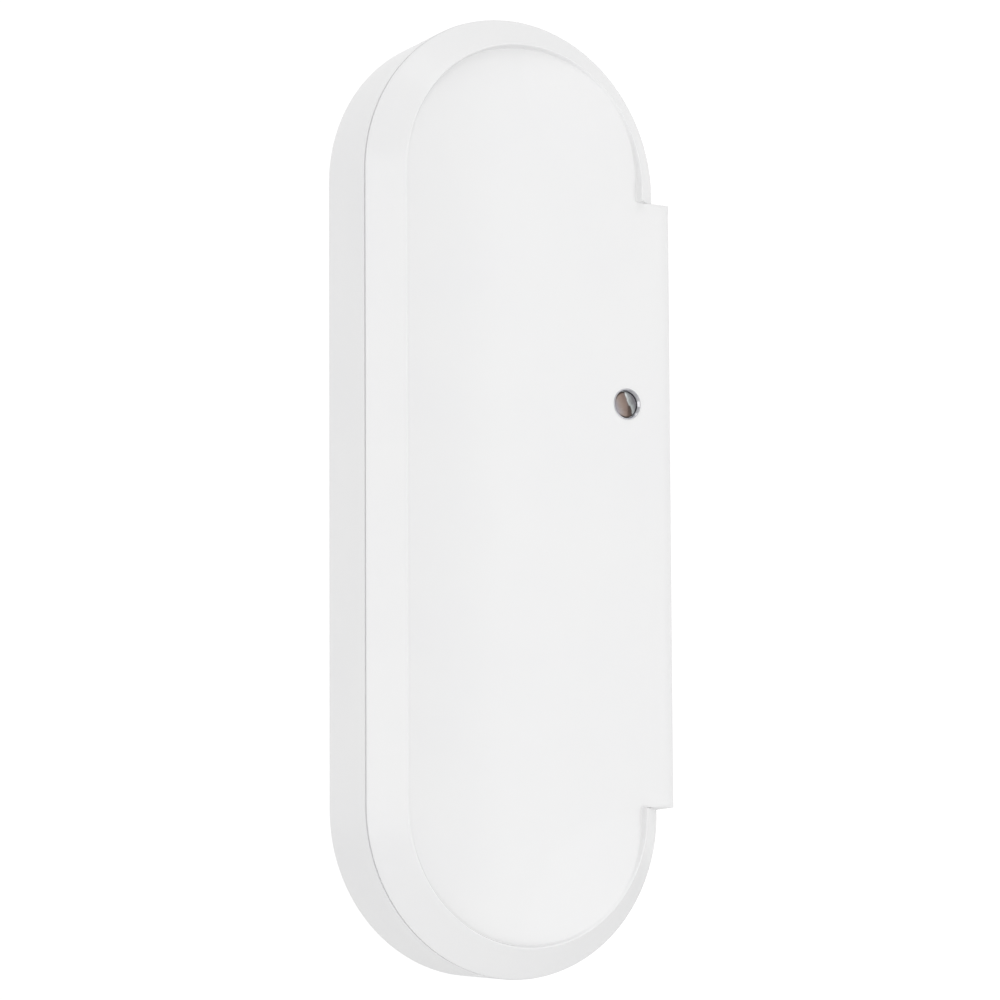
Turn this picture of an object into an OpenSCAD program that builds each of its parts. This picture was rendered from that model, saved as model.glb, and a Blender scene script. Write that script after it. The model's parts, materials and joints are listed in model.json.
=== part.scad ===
// Video doorbell: a pill-shaped wall unit whose whole front cover is the bell push.
// The wall is the plane Y = 0 and the front faces -Y. Heights are measured from the wall, outwards.

/* [Overall] */
// Width of the casing
body_w = 50; // [46:0.5:62]
// Height of the casing, end to end
body_h = 143.5; // [140:0.5:180]
// Depth from the wall to the rim
body_d = 17.5; // [17:0.1:22]

/* [Casing] */
// Width of the bevel round the front
rim_w = 4.4; // [3.6:0.1:6]
// Depth of the bevel, front to back
rim_d = 4.6; // [3.8:0.1:6]
// How much narrower the side wall is at the wall, on each side
back_draft = 0.8; // [0:0.1:1.2]
// Gap between the casing's back edge and the wall
back_gap = 0.4; // [0.2:0.1:0.6]
// Distance from the outside of the casing to the hollow inside it
cavity_inset = 3.1; // [2.8:0.1:3.6]
// How far the hollow steps outwards behind the gasket's ledge
skirt_step = 0.9; // [0.8:0.05:1]

/* [Front cover] */
// Depth of the dish below the rim
dish_depth = 1.2; // [0.6:0.1:1.4]
// Where the dish's curve runs out into its flat, from the middle
dish_flat_x = -1; // [-6:0.5:6]
// Thickness of the front cover's skin behind the dish
cover_skin = 1.4; // [1:0.1:1.6]
// Width of the front cover's rim, where it faces the casing
cover_rim = 1.6; // [1.4:0.1:1.8]
// How far the wing stops below the top of the straight side
wing_top_in = 1.45; // [0.5:0.05:15]
// How far the wing stops above the foot of the straight side
wing_low_in = 0.65; // [0.5:0.05:15]
// How far the wing stands out past the casing's side
wing_proud = 0.9; // [0:0.1:2]
// Travel of the front cover when it is pressed
press_travel = 0.2; // [0.15:0.05:0.4]
// Radius of the front cover's guide pins
guide_pin_r = 1; // [0.8:0.1:1.4]
// Radial clearance of each guide pin in its bushing
guide_clearance = 0.05; // [0.03:0.01:0.1]

/* [Camera] */
// Distance of the camera's axis from the casing's right side
camera_inset = 6.8; // [6.7:0.1:10]
// Height of the camera's axis above the middle
camera_z = 14.4; // [8:0.1:20]
// Radius of the hole in the front cover
camera_hole_r = 2.35; // [2.2:0.05:2.6]
// Radius of the lens barrel's thread
barrel_r = 2.8; // [2.6:0.1:3]
// Width of the square lens holder
holder_w = 7; // [6.6:0.1:7]

/* [Inner frame] */
// Thickness of the silicone mat's sheet
mat_t = 0.8; // [0.6:0.1:1]
// Height of the mat's domes above its sheet
dome_rise = 2.7; // [2.5:0.1:3]
// Thickness of the inner frame
chassis_t = 1.4; // [1.2:0.1:1.6]
// Clearance between the inner frame and the casing
chassis_gap = 0.3; // [0.2:0.05:0.4]
// Radius of the bell contact's plunger
plunger_r = 1.72; // [1.5:0.02:2]
// Width of the bell contact's square body
switch_w = 6.2; // [5:0.1:7]

/* [Electronics] */
// Space between the inner frame and the circuit board
board_gap = 1.2; // [1:0.1:1.4]
// Thickness of the circuit board
board_t = 1.2; // [0.8:0.1:1.2]
// Width of the circuit board
board_w = 33; // [30:0.5:33]
// Length of the speaker's frame
speaker_w = 24; // [20:0.5:24]
// Height of the speaker's frame
speaker_h = 17; // [16:0.5:17]
// Radius of the speaker's cone
cone_r = 7.5; // [6:0.1:7.6]
// Number of sound slots
slot_count = 7; // [4:1:7]
// Width of a sound slot
slot_w = 1.2; // [0.8:0.1:1.6]

/* [Back] */
// Thickness of the wall plate
wall_plate_t = 2.2; // [2:0.1:2.4]
// Gap between the wall plate and the rear cover
plate_gap = 0.4; // [0.3:0.1:0.6]
// Thickness of the rear cover
cover_t = 1.4; // [1.2:0.1:1.6]
// Height of the rear gasket
gasket_t = 1; // [0.8:0.1:1.2]
// Radius of a case screw's shank
case_screw_r = 0.85; // [0.8:0.05:1]
// Distance between the two wall screws
wall_screw_pitch = 100; // [96:1:104]
// Radius of the wall screw holes
wall_screw_r = 2.1; // [1.8:0.1:2.5]
// Width of the cable opening
opening_w = 23; // [22:0.5:26]
// Height of the cable opening
opening_h = 27; // [26:0.5:27]
// Travel of the release latch
latch_travel = 1.2; // [1:0.1:1.4]
// Travel of the reset button
reset_travel = 0.4; // [0.3:0.05:0.4]
// Radius of the reset button
reset_r = 1.55; // [1.3:0.05:1.8]

/* [Hidden] */
$fn = 72;

// Clearances
gasket_lip = 0.15;
overshoot = 1;
slip = 0.2;
snug = 0.1;
running = 0.05;

// The body is a line (the spine) with everything set out at a distance r from it
spine = body_h - body_w;
outer_r = body_w / 2;
rim_r = outer_r - rim_w;
back_r = outer_r - back_draft;
cavity_r = outer_r - cavity_inset;
skirt_r = cavity_r + skirt_step;

// Heights of the front stack, from the rim down
rim_top = body_d;
bevel_h = body_d - rim_d;
parting = press_travel + running;
casing_top = bevel_h - parting;
floor_h = body_d - dish_depth;
pad_depth = 4;
pad_h = body_d - pad_depth;
pressed_h = pad_h - press_travel;
mat_top = pad_h - dome_rise;
chassis_top = mat_top - mat_t;
chassis_bottom = chassis_top - chassis_t;
board_top = chassis_bottom - board_gap;
board_bottom = board_top - board_t;

// Heights of the back stack, from the wall up
cover_back = wall_plate_t + plate_gap;
cover_front = cover_back + cover_t;
ledge_h = cover_front + gasket_t;

// Front cover: its hollow follows the bevel, and stops short of an upstand on the casing
ridge_land = 0.15;
skin_h = floor_h - cover_skin;
hollow_foot_r = outer_r - cover_rim;
hollow_top_r = hollow_foot_r - (skin_h - bevel_h) * rim_w / rim_d;
upstand_clear = 0.7;
upstand_r = hollow_foot_r - upstand_clear;
upstand_h = bevel_h + upstand_clear * rim_d / rim_w - press_travel - slip;
wing_x = outer_r + wing_proud;
wing_top = spine / 2 - wing_top_in;
wing_low = wing_low_in - spine / 2;
dish_run = dish_flat_x + rim_r;
dish_curve_r = (dish_run * dish_run + dish_depth * dish_depth) / (2 * dish_depth);
lobe_foot_r = rim_r;
lobe_tip_r = rim_r * (sqrt(2) - 1);
lobe_spots = [for (end = [-1, 1]) [rim_r, end * (spine / 2 + rim_r)]];

// Guide pins, domes and the pusher over the bell contact
guide_x = outer_r - 10;
guide_z = spine / 2 + 3.25;
guide_spots = [for (side = [-1, 1], end = [-1, 1]) [side * guide_x, end * guide_z]];
guide_clip_rim = 0.9;
guide_clip_r = guide_pin_r + guide_clip_rim;
guide_clip_t = 0.5;
guide_tip = chassis_bottom - snug - guide_clip_t - 0.3;
guide_boss_r = guide_pin_r + chassis_t;
guide_boss_top = pressed_h - 1;
pin_boss_r = 3;
dome_foot_r = 4.2;
dome_tip_r = 1.9;
dome_wall = 0.7;
dome_pad_r = 2.4;
dome_x = 9;
dome_z = spine / 2 - 14.75;
dome_spots = [for (side = [-1, 1], end = [-1, 1]) [side * dome_x, end * dome_z]];
mat_inset = 8.6;
mat_r = outer_r - mat_inset;
switch_spot = [0, -12];
pusher_r = 3.5;
rib_t = 1.2;
collar_t = 1.2;
plunger_show = 2.1;
plunger_seat = 0.8;
plunger_slack = 0.15;
switch_top = pressed_h - plunger_show;
plunger_top = pad_h - plunger_slack;
plunger_bottom = switch_top - plunger_seat;
plunger_bore_floor = plunger_bottom - press_travel - snug;
plunger_bore_r = plunger_r + running + 0.03;

// Screw posts: two at each end and one at each side
post_inset = 2.5;
post_ring = cavity_r - post_inset;
post_r = 2.9;
post_cap = 0.8;
post_top = pressed_h - 0.6;
post_bore_top = post_top - post_cap;
post_angle = 60;
side_post_z = -8;
post_spots = concat(
    [for (end = [-1, 1], a = [post_angle, 180 - post_angle])
        [post_ring * cos(a), end * (spine / 2 + post_ring * sin(a)), end * a]],
    [for (side = [0, 1]) [post_ring * (1 - 2 * side), side_post_z, 180 * side]]
);
cover_boss_r = 2.3;
screw_slack = 0.2;
screw_head_r = 1.9;
screw_head_h = 0.9;
screw_tip_gap = 0.4;

// Camera
camera_spot = [outer_r - camera_inset, camera_z];
ring_front = floor_h + snug;
ring_back = floor_h - 2.2;
ring_mouth_r = camera_hole_r - 0.15;
ring_throat_r = camera_hole_r - 0.4;
ring_chamfer = 0.3;
ring_clear = 0.17;
window_t = 0.6;
window_sag = 0.2;
window_r = ring_throat_r - running;
window_back = ring_front - ring_chamfer - window_t;
nose_r = ring_throat_r - ring_clear;
nose_top = window_back - press_travel - slip;
nose_base = pressed_h - slip;
shoulder_top = nose_base - 0.4;
holder_bottom = board_bottom;
holder_top = chassis_bottom - slip;
neck_t = 0.6;
neck_r = barrel_r + neck_t;
neck_top = chassis_top + neck_t;
barrel_bottom = holder_bottom + 1.7;
front_lens_r = nose_r - 0.18;
front_lens_t = 0.6;
front_lens_sag = 0.4;
rear_lens_r = 1.9;
rear_lens_t = 1.3;
rear_lens_sag = 0.5;
lens_seat = barrel_bottom + 3.2;
sensor_w = 4.6;
sensor_t = 0.7;
flex_t = 0.18;
flex_w = 4;
flex_start_x = 8;
flex_past = 2.5;
plug_w = 3;
plug_h = 0.9;

// Circuit board and what is on it
board_low = -36;
board_high = spine / 2 - 6.75;
board_corner = 2;
board_screw_inset = 3;
board_screw_spots = [for (side = [-1, 1], z = [board_low + board_screw_inset, board_high - board_screw_inset])
    [side * (board_w / 2 - board_screw_inset), z]];
board_screw_depth = 0.4;
board_boss_r = 2.2;
board_screw_r = 0.6;
board_head_r = 1.5;
board_head_h = 0.7;
part_gap = 0.4;
part_corner = 0.5;
round_corner = 0.8;
processor_spot = [-5, 26];
processor_size = [10, 10, 1.3];
memory_spot = [6, 27];
memory_size = [7, 9, 1];
shield_spot = [-5, 4];
shield_size = [17, 19, 1.6];
shield_wall = 0.25;
inductor_spots = [for (side = [-1, 1]) [side * 11, board_low + 9.2]];
inductor_w = 5;
inductor_h = 1.8;
inductor_recess = 0.3;
socket_spot = [5, board_low + 2.3];
socket_size = [7, 3.4, 1.7];
socket_wall = 0.6;

// Sound
speaker_spot = [0, -spine / 2 - 5.25];
speaker_floor_t = 0.6;
speaker_back = cover_front + 0.3;
speaker_front = chassis_bottom - slip;
speaker_floor = speaker_back + speaker_floor_t;
speaker_corner = 2;
magnet_r = 5;
magnet_h = 1.5;
cone_edge_h = speaker_front - 0.7;
cone_t = 0.25;
cone_dip = 1.1;
cone_roll = 1;
port_h = 1.1;
port_w = 11;
slot_pitch = slot_w * 2;
slot_top_z = 6.75 - spine / 2;
slot_low_h = ledge_h + 0.8;
slot_high_h = chassis_bottom - 0.4;
mesh_t = 0.5;
mic_z = -25;
mic_size = [3.5, 3.8, 1.1];
mic_hole_r = 0.6;
mic_h = board_top + mic_size[2] / 2;
boot_w = 4;

// Power
capacitor_spot = [0, spine / 2 + 4.25];
capacitor_size = [24, 13];
capacitor_corner = 1.5;
antenna_spot = [0, spine / 2 + 15.25];
antenna_size = [13, 5];
antenna_t = 0.2;
terminal_spot = [0, -16];
terminal_size = [20, 9];
terminal_back = cover_back - 0.2;
terminal_pitch = 10;
terminal_plate_w = 7.4;
terminal_plate_t = 0.5;
terminal_screw_r = 1.5;
terminal_head_r = 2.6;
terminal_head_h = 1;
terminal_screw_tip = terminal_back + 2.6;

// Reset button
reset_spot = [0, -28];
reset_flange_r = reset_r + 0.65;
reset_flange_t = 0.3;
reset_stem_r = 0.8;
reset_face = cover_back - 0.5;
reset_flange_h = cover_front + 0.15;
reset_switch_back = reset_flange_h + reset_flange_t + reset_travel + 0.3;
reset_stem_tip = reset_switch_back - snug;
reset_switch_w = 4.4;

// Wall plate, its hooks and its latch
wall_plate_r = skirt_r - 0.4;
cover_r = skirt_r - slip;
opening_spot = [0, -20];
opening_corner = 3;
sink_r = 4;
sink_land = 0.9;
hook_x = 15.5;
hook_z = spine / 2 + 3.5;
hook_w = 5;
hook_t = 1.6;
hook_lip = 1.3;
hook_lip_t = 0.8;
latch_z = -40;
latch_half = 2.9;
latch_nose_half = 2.1;
latch_floor = 0.9;
latch_low = latch_floor + snug;
latch_high = wall_plate_t - snug;
latch_back_x = 9.9;
latch_spare = 0.5;
latch_shoulder_x = wall_plate_r - latch_spare;
latch_nose_x = skirt_r + latch_travel - latch_spare;
latch_pocket_depth = latch_travel - latch_spare + slip;
spring_back_x = 3.6;
spring_wire = 0.35;
spring_legs = 8;
pin_hole_r = 0.6;

// A 2D shape in X and Z, made solid from one height to another
module slab(from_h, to_h) {
    translate([0, -from_h, 0]) rotate([90, 0, 0]) linear_extrude(to_h - from_h) children();
}

// A round pillar from one height to another
module pillar(spot, from_h, to_h, r) {
    slab(from_h, to_h) translate([spot[0], spot[1]]) circle(r);
}

// A pill-shaped outline at distance r from the spine
module stadium(r) {
    for (end = [-1, 1]) translate([0, end * spine / 2]) circle(r);
    square([2 * r, spine], center = true);
}

// A profile of [distance from the spine, height] points, carried right round the pill
module pill(profile) {
    for (end = [0, 1])
        mirror([0, 0, end]) translate([0, 0, spine / 2]) rotate([90, 0, 0])
            rotate_extrude(angle = 180) polygon(profile);
    for (side = [0, 1])
        mirror([side, 0, 0]) translate([0, 0, -spine / 2])
            linear_extrude(spine) polygon([for (p = profile) [p[0], -p[1]]]);
}

// A profile of [radius, height] points turned about an axis that leaves the wall at a spot
module turned(spot, profile) {
    translate([spot[0], 0, spot[1]]) rotate([90, 0, 0]) rotate_extrude() polygon(profile);
}

// A rectangle with round corners, about its middle
module rounded(size, r) {
    square([size[0] - 2 * r, size[1]], center = true);
    square([size[0], size[1] - 2 * r], center = true);
    for (x = [-1, 1], y = [-1, 1])
        translate([x * (size[0] / 2 - r), y * (size[1] / 2 - r)]) circle(r);
}

// A rectangular block at a spot, from one height to another
module block(spot, size, from_h, to_h, corner = slip) {
    slab(from_h, to_h) translate(spot) rounded([size[0], size[1]], corner);
}

// A lens with one domed face towards the front
module lens(spot, r, back_h, edge_t, sag) {
    curve = (r * r + sag * sag) / (2 * sag);
    intersection() {
        pillar(spot, back_h, back_h + edge_t + sag, r);
        translate([spot[0], -(back_h + edge_t + sag - curve), spot[1]]) sphere(curve, $fn = 180);
    }
}

// A screw whose head is towards the wall: head from head_h, shank on to tip_h
module back_screw(spot, head_h, head_t, head_r, shank_r, tip_h) {
    difference() {
        union() {
            pillar(spot, head_h, head_h + head_t, head_r);
            pillar(spot, head_h + head_t - running, tip_h, shank_r);
        }
        slab(head_h - overshoot, head_h + head_t / 2) translate([spot[0], spot[1]])
            circle(head_r / 2, $fn = 6);
    }
}

module casing() {
    color("white") difference() {
        union() {
            pill([
                [back_r, back_gap], [outer_r, casing_top], [upstand_r, casing_top],
                [upstand_r, upstand_h], [cavity_r, upstand_h], [cavity_r, ledge_h],
                [skirt_r, ledge_h], [skirt_r, back_gap]
            ]);
            slab(chassis_top, post_top) for (p = post_spots) translate([p[0], p[1]]) {
                circle(post_r);
                rotate(p[2]) translate([0, -post_r]) square([post_inset + post_cap - snug, 2 * post_r]);
            }
        }
        for (p = post_spots) pillar(p, chassis_top - overshoot, post_bore_top, case_screw_r);
        // Sound slots and the microphone's hole, low in the right side
        for (i = [0:slot_count - 1])
            slab(slot_low_h, slot_high_h)
                translate([rim_r / 2, slot_top_z - i * slot_pitch - slot_w]) square([body_w, slot_w]);
        translate([rim_r, -mic_h, mic_z]) rotate([0, 90, 0]) cylinder(h = body_w, r = mic_hole_r);
        // Pocket for the latch's nose, and the pin hole that reaches it
        slab(latch_floor - snug, wall_plate_t + snug)
            translate([skirt_r - overshoot, latch_z - latch_nose_half - slip])
                square([overshoot + latch_pocket_depth, 2 * (latch_nose_half + slip)]);
        translate([skirt_r, -(latch_low + latch_high) / 2, latch_z]) rotate([0, 90, 0])
            cylinder(h = body_w, r = pin_hole_r);
    }
}

module dish_curve() {
    // Everything left of the flat and under a wide, shallow cylinder
    difference() {
        slab(skin_h, rim_top) translate([-rim_r, -body_h / 2]) square([dish_run, body_h]);
        translate([dish_flat_x, -(floor_h + dish_curve_r), -body_h / 2 - overshoot])
            cylinder(h = body_h + 2 * overshoot, r = dish_curve_r, $fn = 360);
    }
}

module dish_lobes() {
    // Two cones that raise the floor to the rim at the right-hand ends
    for (p = lobe_spots)
        translate([p[0], -floor_h, p[1]]) rotate([90, 0, 0])
            cylinder(h = dish_depth, r1 = lobe_foot_r, r2 = lobe_tip_r);
}

module cover_bosses() {
    // What stands behind the skin: ribs, pin bosses, dome pads, the pusher and the camera's collar
    for (p = guide_spots) translate(p) circle(pin_boss_r);
    for (p = dome_spots) translate(p) circle(dome_pad_r);
    translate(switch_spot) circle(pusher_r);
    translate(camera_spot) circle(camera_hole_r + collar_t);
    square([rib_t, body_h - body_w / 2], center = true);
    for (z = [-1, 0, 1])
        translate([0, z * spine / 4]) square([2 * (hollow_top_r - rib_t), rib_t], center = true);
}

module front_cover() {
    color("white") difference() {
        union() {
            difference() {
                pill([
                    [0, skin_h], [hollow_top_r, skin_h], [hollow_foot_r, bevel_h],
                    [outer_r, bevel_h], [rim_r, rim_top], [0, rim_top]
                ]);
                // The dish
                difference() {
                    slab(floor_h, rim_top + overshoot) stadium(rim_r - ridge_land);
                    dish_curve();
                    dish_lobes();
                }
                // The rim stops where the wing runs out
                slab(floor_h, rim_top + overshoot)
                    translate([rim_r / 2, wing_low]) square([body_w, wing_top - wing_low]);
            }
            translate([0, 0, wing_low]) linear_extrude(wing_top - wing_low) polygon([
                [hollow_top_r, -skin_h], [hollow_foot_r, -bevel_h], [wing_x, -bevel_h],
                [wing_x, -floor_h], [rim_r - overshoot, -floor_h], [rim_r - overshoot, -skin_h]
            ]);
            slab(pad_h, skin_h + running) cover_bosses();
            for (p = guide_spots) pillar(p, guide_tip, pad_h + running, guide_pin_r);
        }
        pillar(camera_spot, pad_h - overshoot, rim_top + overshoot, camera_hole_r);
    }
}

module guide_clips() {
    color("silver") for (p = guide_spots) difference() {
        pillar(p, chassis_bottom - snug - guide_clip_t, chassis_bottom - snug, guide_clip_r);
        pillar(p, 0, rim_top, guide_pin_r);
    }
}

module lens_trim_ring() {
    color("silver") turned(camera_spot, [
        [ring_throat_r, ring_back], [camera_hole_r, ring_back], [camera_hole_r, ring_front],
        [ring_mouth_r, ring_front], [ring_throat_r, ring_front - ring_chamfer]
    ]);
}

module lens_window() {
    color("saddlebrown") lens(camera_spot, window_r, window_back, window_t - window_sag, window_sag);
}

module dome_mat() {
    color("dimgray") difference() {
        union() {
            slab(chassis_top, mat_top) stadium(mat_r);
            for (p = dome_spots)
                turned(p, [[0, mat_top - snug], [dome_foot_r, mat_top - snug], [dome_foot_r, mat_top],
                    [dome_tip_r, pad_h], [0, pad_h]]);
        }
        for (p = dome_spots)
            turned(p, [[0, chassis_top - overshoot], [dome_foot_r - dome_wall, chassis_top - overshoot],
                [dome_foot_r - dome_wall, mat_top], [dome_tip_r - dome_wall / 2, pad_h - dome_wall],
                [0, pad_h - dome_wall]]);
        for (p = guide_spots) pillar(p, chassis_top - overshoot, rim_top, guide_boss_r + slip);
        block(switch_spot, [switch_w + 1, switch_w + 1], chassis_top - overshoot, rim_top);
        pillar(camera_spot, chassis_top - overshoot, rim_top, neck_r + slip);
        for (p = post_spots) pillar(p, chassis_top - overshoot, rim_top, post_r + slip);
    }
}

module chassis() {
    color("gray") difference() {
        union() {
            slab(chassis_bottom, chassis_top) stadium(cavity_r - chassis_gap);
            for (p = guide_spots) pillar(p, chassis_bottom, guide_boss_top, guide_boss_r);
            for (p = board_screw_spots) pillar(p, board_top, chassis_top, board_boss_r);
        }
        for (p = guide_spots)
            pillar(p, chassis_bottom - overshoot, rim_top, guide_pin_r + guide_clearance);
        for (p = board_screw_spots) pillar(p, board_top - overshoot, chassis_bottom + board_screw_depth,
            board_screw_r);
        for (p = post_spots) pillar(p, 0, rim_top, case_screw_r + screw_slack);
        block(switch_spot, [switch_w + 1, switch_w + 1], board_bottom, rim_top);
        // The camera's notch runs out to the edge
        slab(chassis_bottom - overshoot, rim_top) translate(camera_spot) {
            circle(neck_r + slip);
            translate([0, -neck_r - slip]) square([body_w, 2 * (neck_r + slip)]);
        }
    }
}

module tact_switch() {
    color("black") difference() {
        block(switch_spot, [switch_w, switch_w], board_top, switch_top, part_corner);
        pillar(switch_spot, plunger_bore_floor, rim_top, plunger_bore_r);
    }
}

module switch_plunger() {
    color("orangered") pillar(switch_spot, plunger_bottom, plunger_top, plunger_r);
}

module lens_barrel() {
    color("black") turned(camera_spot, [
        [rear_lens_r, barrel_bottom], [barrel_r, barrel_bottom], [barrel_r, shoulder_top],
        [nose_r, nose_base], [nose_r, nose_top], [front_lens_r, nose_top],
        [front_lens_r, lens_seat], [rear_lens_r, lens_seat]
    ]);
}

module front_lens() {
    color("indigo") lens(camera_spot, front_lens_r, nose_top - front_lens_t - front_lens_sag - snug,
        front_lens_t, front_lens_sag);
}

module rear_lens() {
    color("indigo") lens(camera_spot, rear_lens_r, lens_seat - rear_lens_t - rear_lens_sag,
        rear_lens_t, rear_lens_sag);
}

module lens_holder() {
    color("black") difference() {
        union() {
            block(camera_spot, [holder_w, holder_w], holder_bottom, holder_top, part_corner);
            pillar(camera_spot, holder_top - running, neck_top, neck_r);
        }
        pillar(camera_spot, barrel_bottom, rim_top, barrel_r);
        block(camera_spot, [sensor_w, sensor_w], 0, rim_top);
    }
}

module image_sensor() {
    color("darkslategray") block(camera_spot, [sensor_w, sensor_w], holder_bottom,
        holder_bottom + sensor_t);
}

module camera_flex() {
    color("darkorange") slab(board_bottom - flex_t, board_bottom)
        translate([flex_start_x, camera_z - flex_w / 2])
            square([camera_spot[0] + flex_past - flex_start_x, flex_w]);
}

module flex_connector() {
    color("ivory") block([flex_start_x + plug_w / 2 - snug, camera_z], [plug_w, flex_w + 1],
        board_bottom - flex_t - plug_h, board_bottom - flex_t);
}

module main_board() {
    color("darkgreen") difference() {
        slab(board_bottom, board_top) translate([0, (board_low + board_high) / 2])
            rounded([board_w, board_high - board_low], board_corner);
        for (p = board_screw_spots) pillar(p, 0, rim_top, board_screw_r + slip);
        block(camera_spot, [holder_w + 1, holder_w + 1], 0, rim_top);
    }
}

module board_screws() {
    color("silver") for (p = board_screw_spots)
        back_screw(p, board_bottom - board_head_h, board_head_h, board_head_r, board_screw_r,
            chassis_bottom + board_screw_depth);
}

module processor() {
    color("black") block(processor_spot, processor_size, board_bottom - processor_size[2], board_bottom);
}

module memory_chip() {
    color("black") block(memory_spot, memory_size, board_bottom - memory_size[2], board_bottom);
}

module shield_can() {
    color("silver") difference() {
        block(shield_spot, shield_size, board_bottom - shield_size[2], board_bottom, part_corner);
        block(shield_spot, [shield_size[0] - 2 * shield_wall, shield_size[1] - 2 * shield_wall],
            board_bottom - shield_size[2] + shield_wall, board_bottom + overshoot, part_corner / 2);
    }
}

module inductors() {
    color("dimgray") for (p = inductor_spots) difference() {
        block(p, [inductor_w, inductor_w], board_bottom - inductor_h, board_bottom, round_corner);
        pillar(p, 0, board_bottom - inductor_h + inductor_recess, inductor_w / 3);
    }
}

module board_connector() {
    color("ivory") difference() {
        block(socket_spot, socket_size, board_bottom - socket_size[2], board_bottom);
        block(socket_spot, [socket_size[0] - 2 * socket_wall, socket_size[1] - 2 * socket_wall], 0,
            board_bottom - socket_size[2] / 2);
    }
}

module antenna() {
    color("goldenrod") block(antenna_spot, antenna_size, chassis_bottom - antenna_t, chassis_bottom,
        round_corner);
}

module backup_capacitor() {
    color("steelblue") block(capacitor_spot, capacitor_size, cover_front + part_gap,
        chassis_bottom - part_gap, capacitor_corner);
}

module microphone() {
    color("gold") block([board_w / 2 - mic_size[0] / 2, mic_z], mic_size, board_top, board_top + mic_size[2]);
}

module microphone_boot() {
    color("dimgray") difference() {
        slab(board_top - part_gap, chassis_bottom - snug) translate([board_w / 2, mic_z - boot_w / 2])
            square([cavity_r - board_w / 2, boot_w]);
        translate([board_w / 2 - overshoot, -mic_h, mic_z]) rotate([0, 90, 0])
            cylinder(h = body_w, r = mic_hole_r);
    }
}

module speaker_frame() {
    color("black") difference() {
        block(speaker_spot, [speaker_w, speaker_h], speaker_back, speaker_front, speaker_corner);
        pillar(speaker_spot, speaker_floor, rim_top, cone_r);
        slab(speaker_front - port_h, rim_top)
            translate([speaker_spot[0], speaker_spot[1] - port_w / 2]) square([body_w, port_w]);
    }
}

module speaker_cone() {
    color("gray") turned(speaker_spot, [
        [0, cone_edge_h - cone_dip], [magnet_r / 2, cone_edge_h - cone_dip],
        [cone_r - cone_roll, cone_edge_h], [cone_r, cone_edge_h],
        [cone_r, cone_edge_h + cone_t], [cone_r - cone_roll - snug, cone_edge_h + cone_t],
        [magnet_r / 2, cone_edge_h - cone_dip + cone_t], [0, cone_edge_h - cone_dip + cone_t]
    ]);
}

module speaker_magnet() {
    color("silver") pillar(speaker_spot, speaker_floor, speaker_floor + magnet_h, magnet_r);
}

module speaker_mesh() {
    color("black") intersection() {
        pill([
            [cavity_r - mesh_t, slot_low_h - mesh_t], [cavity_r, slot_low_h - mesh_t],
            [cavity_r, slot_high_h + snug], [cavity_r - mesh_t, slot_high_h + snug]
        ]);
        slab(0, rim_top) translate([rim_r / 2, slot_top_z - slot_count * slot_pitch - slot_w])
            square([body_w, slot_count * slot_pitch + 2 * slot_w]);
    }
}

module rear_gasket() {
    color("dimgray") slab(cover_front, ledge_h) difference() {
        stadium(skirt_r - snug);
        stadium(cavity_r - gasket_lip);
    }
}

module rear_cover() {
    color("whitesmoke") difference() {
        union() {
            slab(cover_back, cover_front) stadium(cover_r);
            for (p = post_spots) pillar(p, cover_back, chassis_bottom, cover_boss_r);
        }
        for (p = post_spots) {
            pillar(p, 0, rim_top, case_screw_r + screw_slack);
            pillar(p, 0, cover_back + screw_head_h + snug, screw_head_r + snug);
        }
        block(terminal_spot, [terminal_size[0] + 2 * slip, terminal_size[1] + 2 * slip], 0, rim_top);
        pillar(reset_spot, 0, rim_top, reset_r + running);
        for (side = [-1, 1])
            slab(0, rim_top) translate([side * hook_x, hook_z])
                square([hook_w + 2 * slip, hook_t + 2 * (hook_lip + slip)], center = true);
    }
}

module case_screws() {
    color("silver") for (p = post_spots)
        back_screw(p, cover_back + snug, screw_head_h, screw_head_r, case_screw_r,
            post_bore_top - screw_tip_gap);
}

module terminal_block() {
    color("black") difference() {
        block(terminal_spot, terminal_size, terminal_back, board_bottom, part_corner);
        for (side = [-1, 1])
            pillar([side * terminal_pitch / 2, terminal_spot[1]], 0, terminal_screw_tip, terminal_screw_r);
    }
}

module terminal_plates() {
    color("gold") for (side = [-1, 1]) difference() {
        block([side * terminal_pitch / 2, terminal_spot[1]], [terminal_plate_w, terminal_plate_w],
            terminal_back - terminal_plate_t, terminal_back, part_corner);
        pillar([side * terminal_pitch / 2, terminal_spot[1]], 0, rim_top, terminal_screw_r);
    }
}

module terminal_screws() {
    color("gold") for (side = [-1, 1])
        back_screw([side * terminal_pitch / 2, terminal_spot[1]],
            terminal_back - terminal_plate_t - terminal_head_h, terminal_head_h, terminal_head_r,
            terminal_screw_r, terminal_screw_tip);
}

module reset_switch() {
    color("black") difference() {
        block(reset_spot, [reset_switch_w, reset_switch_w], reset_switch_back, board_bottom);
        pillar(reset_spot, 0, reset_stem_tip + reset_travel + slip, reset_stem_r + snug);
    }
}

module reset_button() {
    color("orangered") {
        pillar(reset_spot, reset_face, reset_flange_h + running, reset_r);
        pillar(reset_spot, reset_flange_h, reset_flange_h + reset_flange_t, reset_flange_r);
        pillar(reset_spot, reset_flange_h, reset_stem_tip, reset_stem_r);
    }
}

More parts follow.
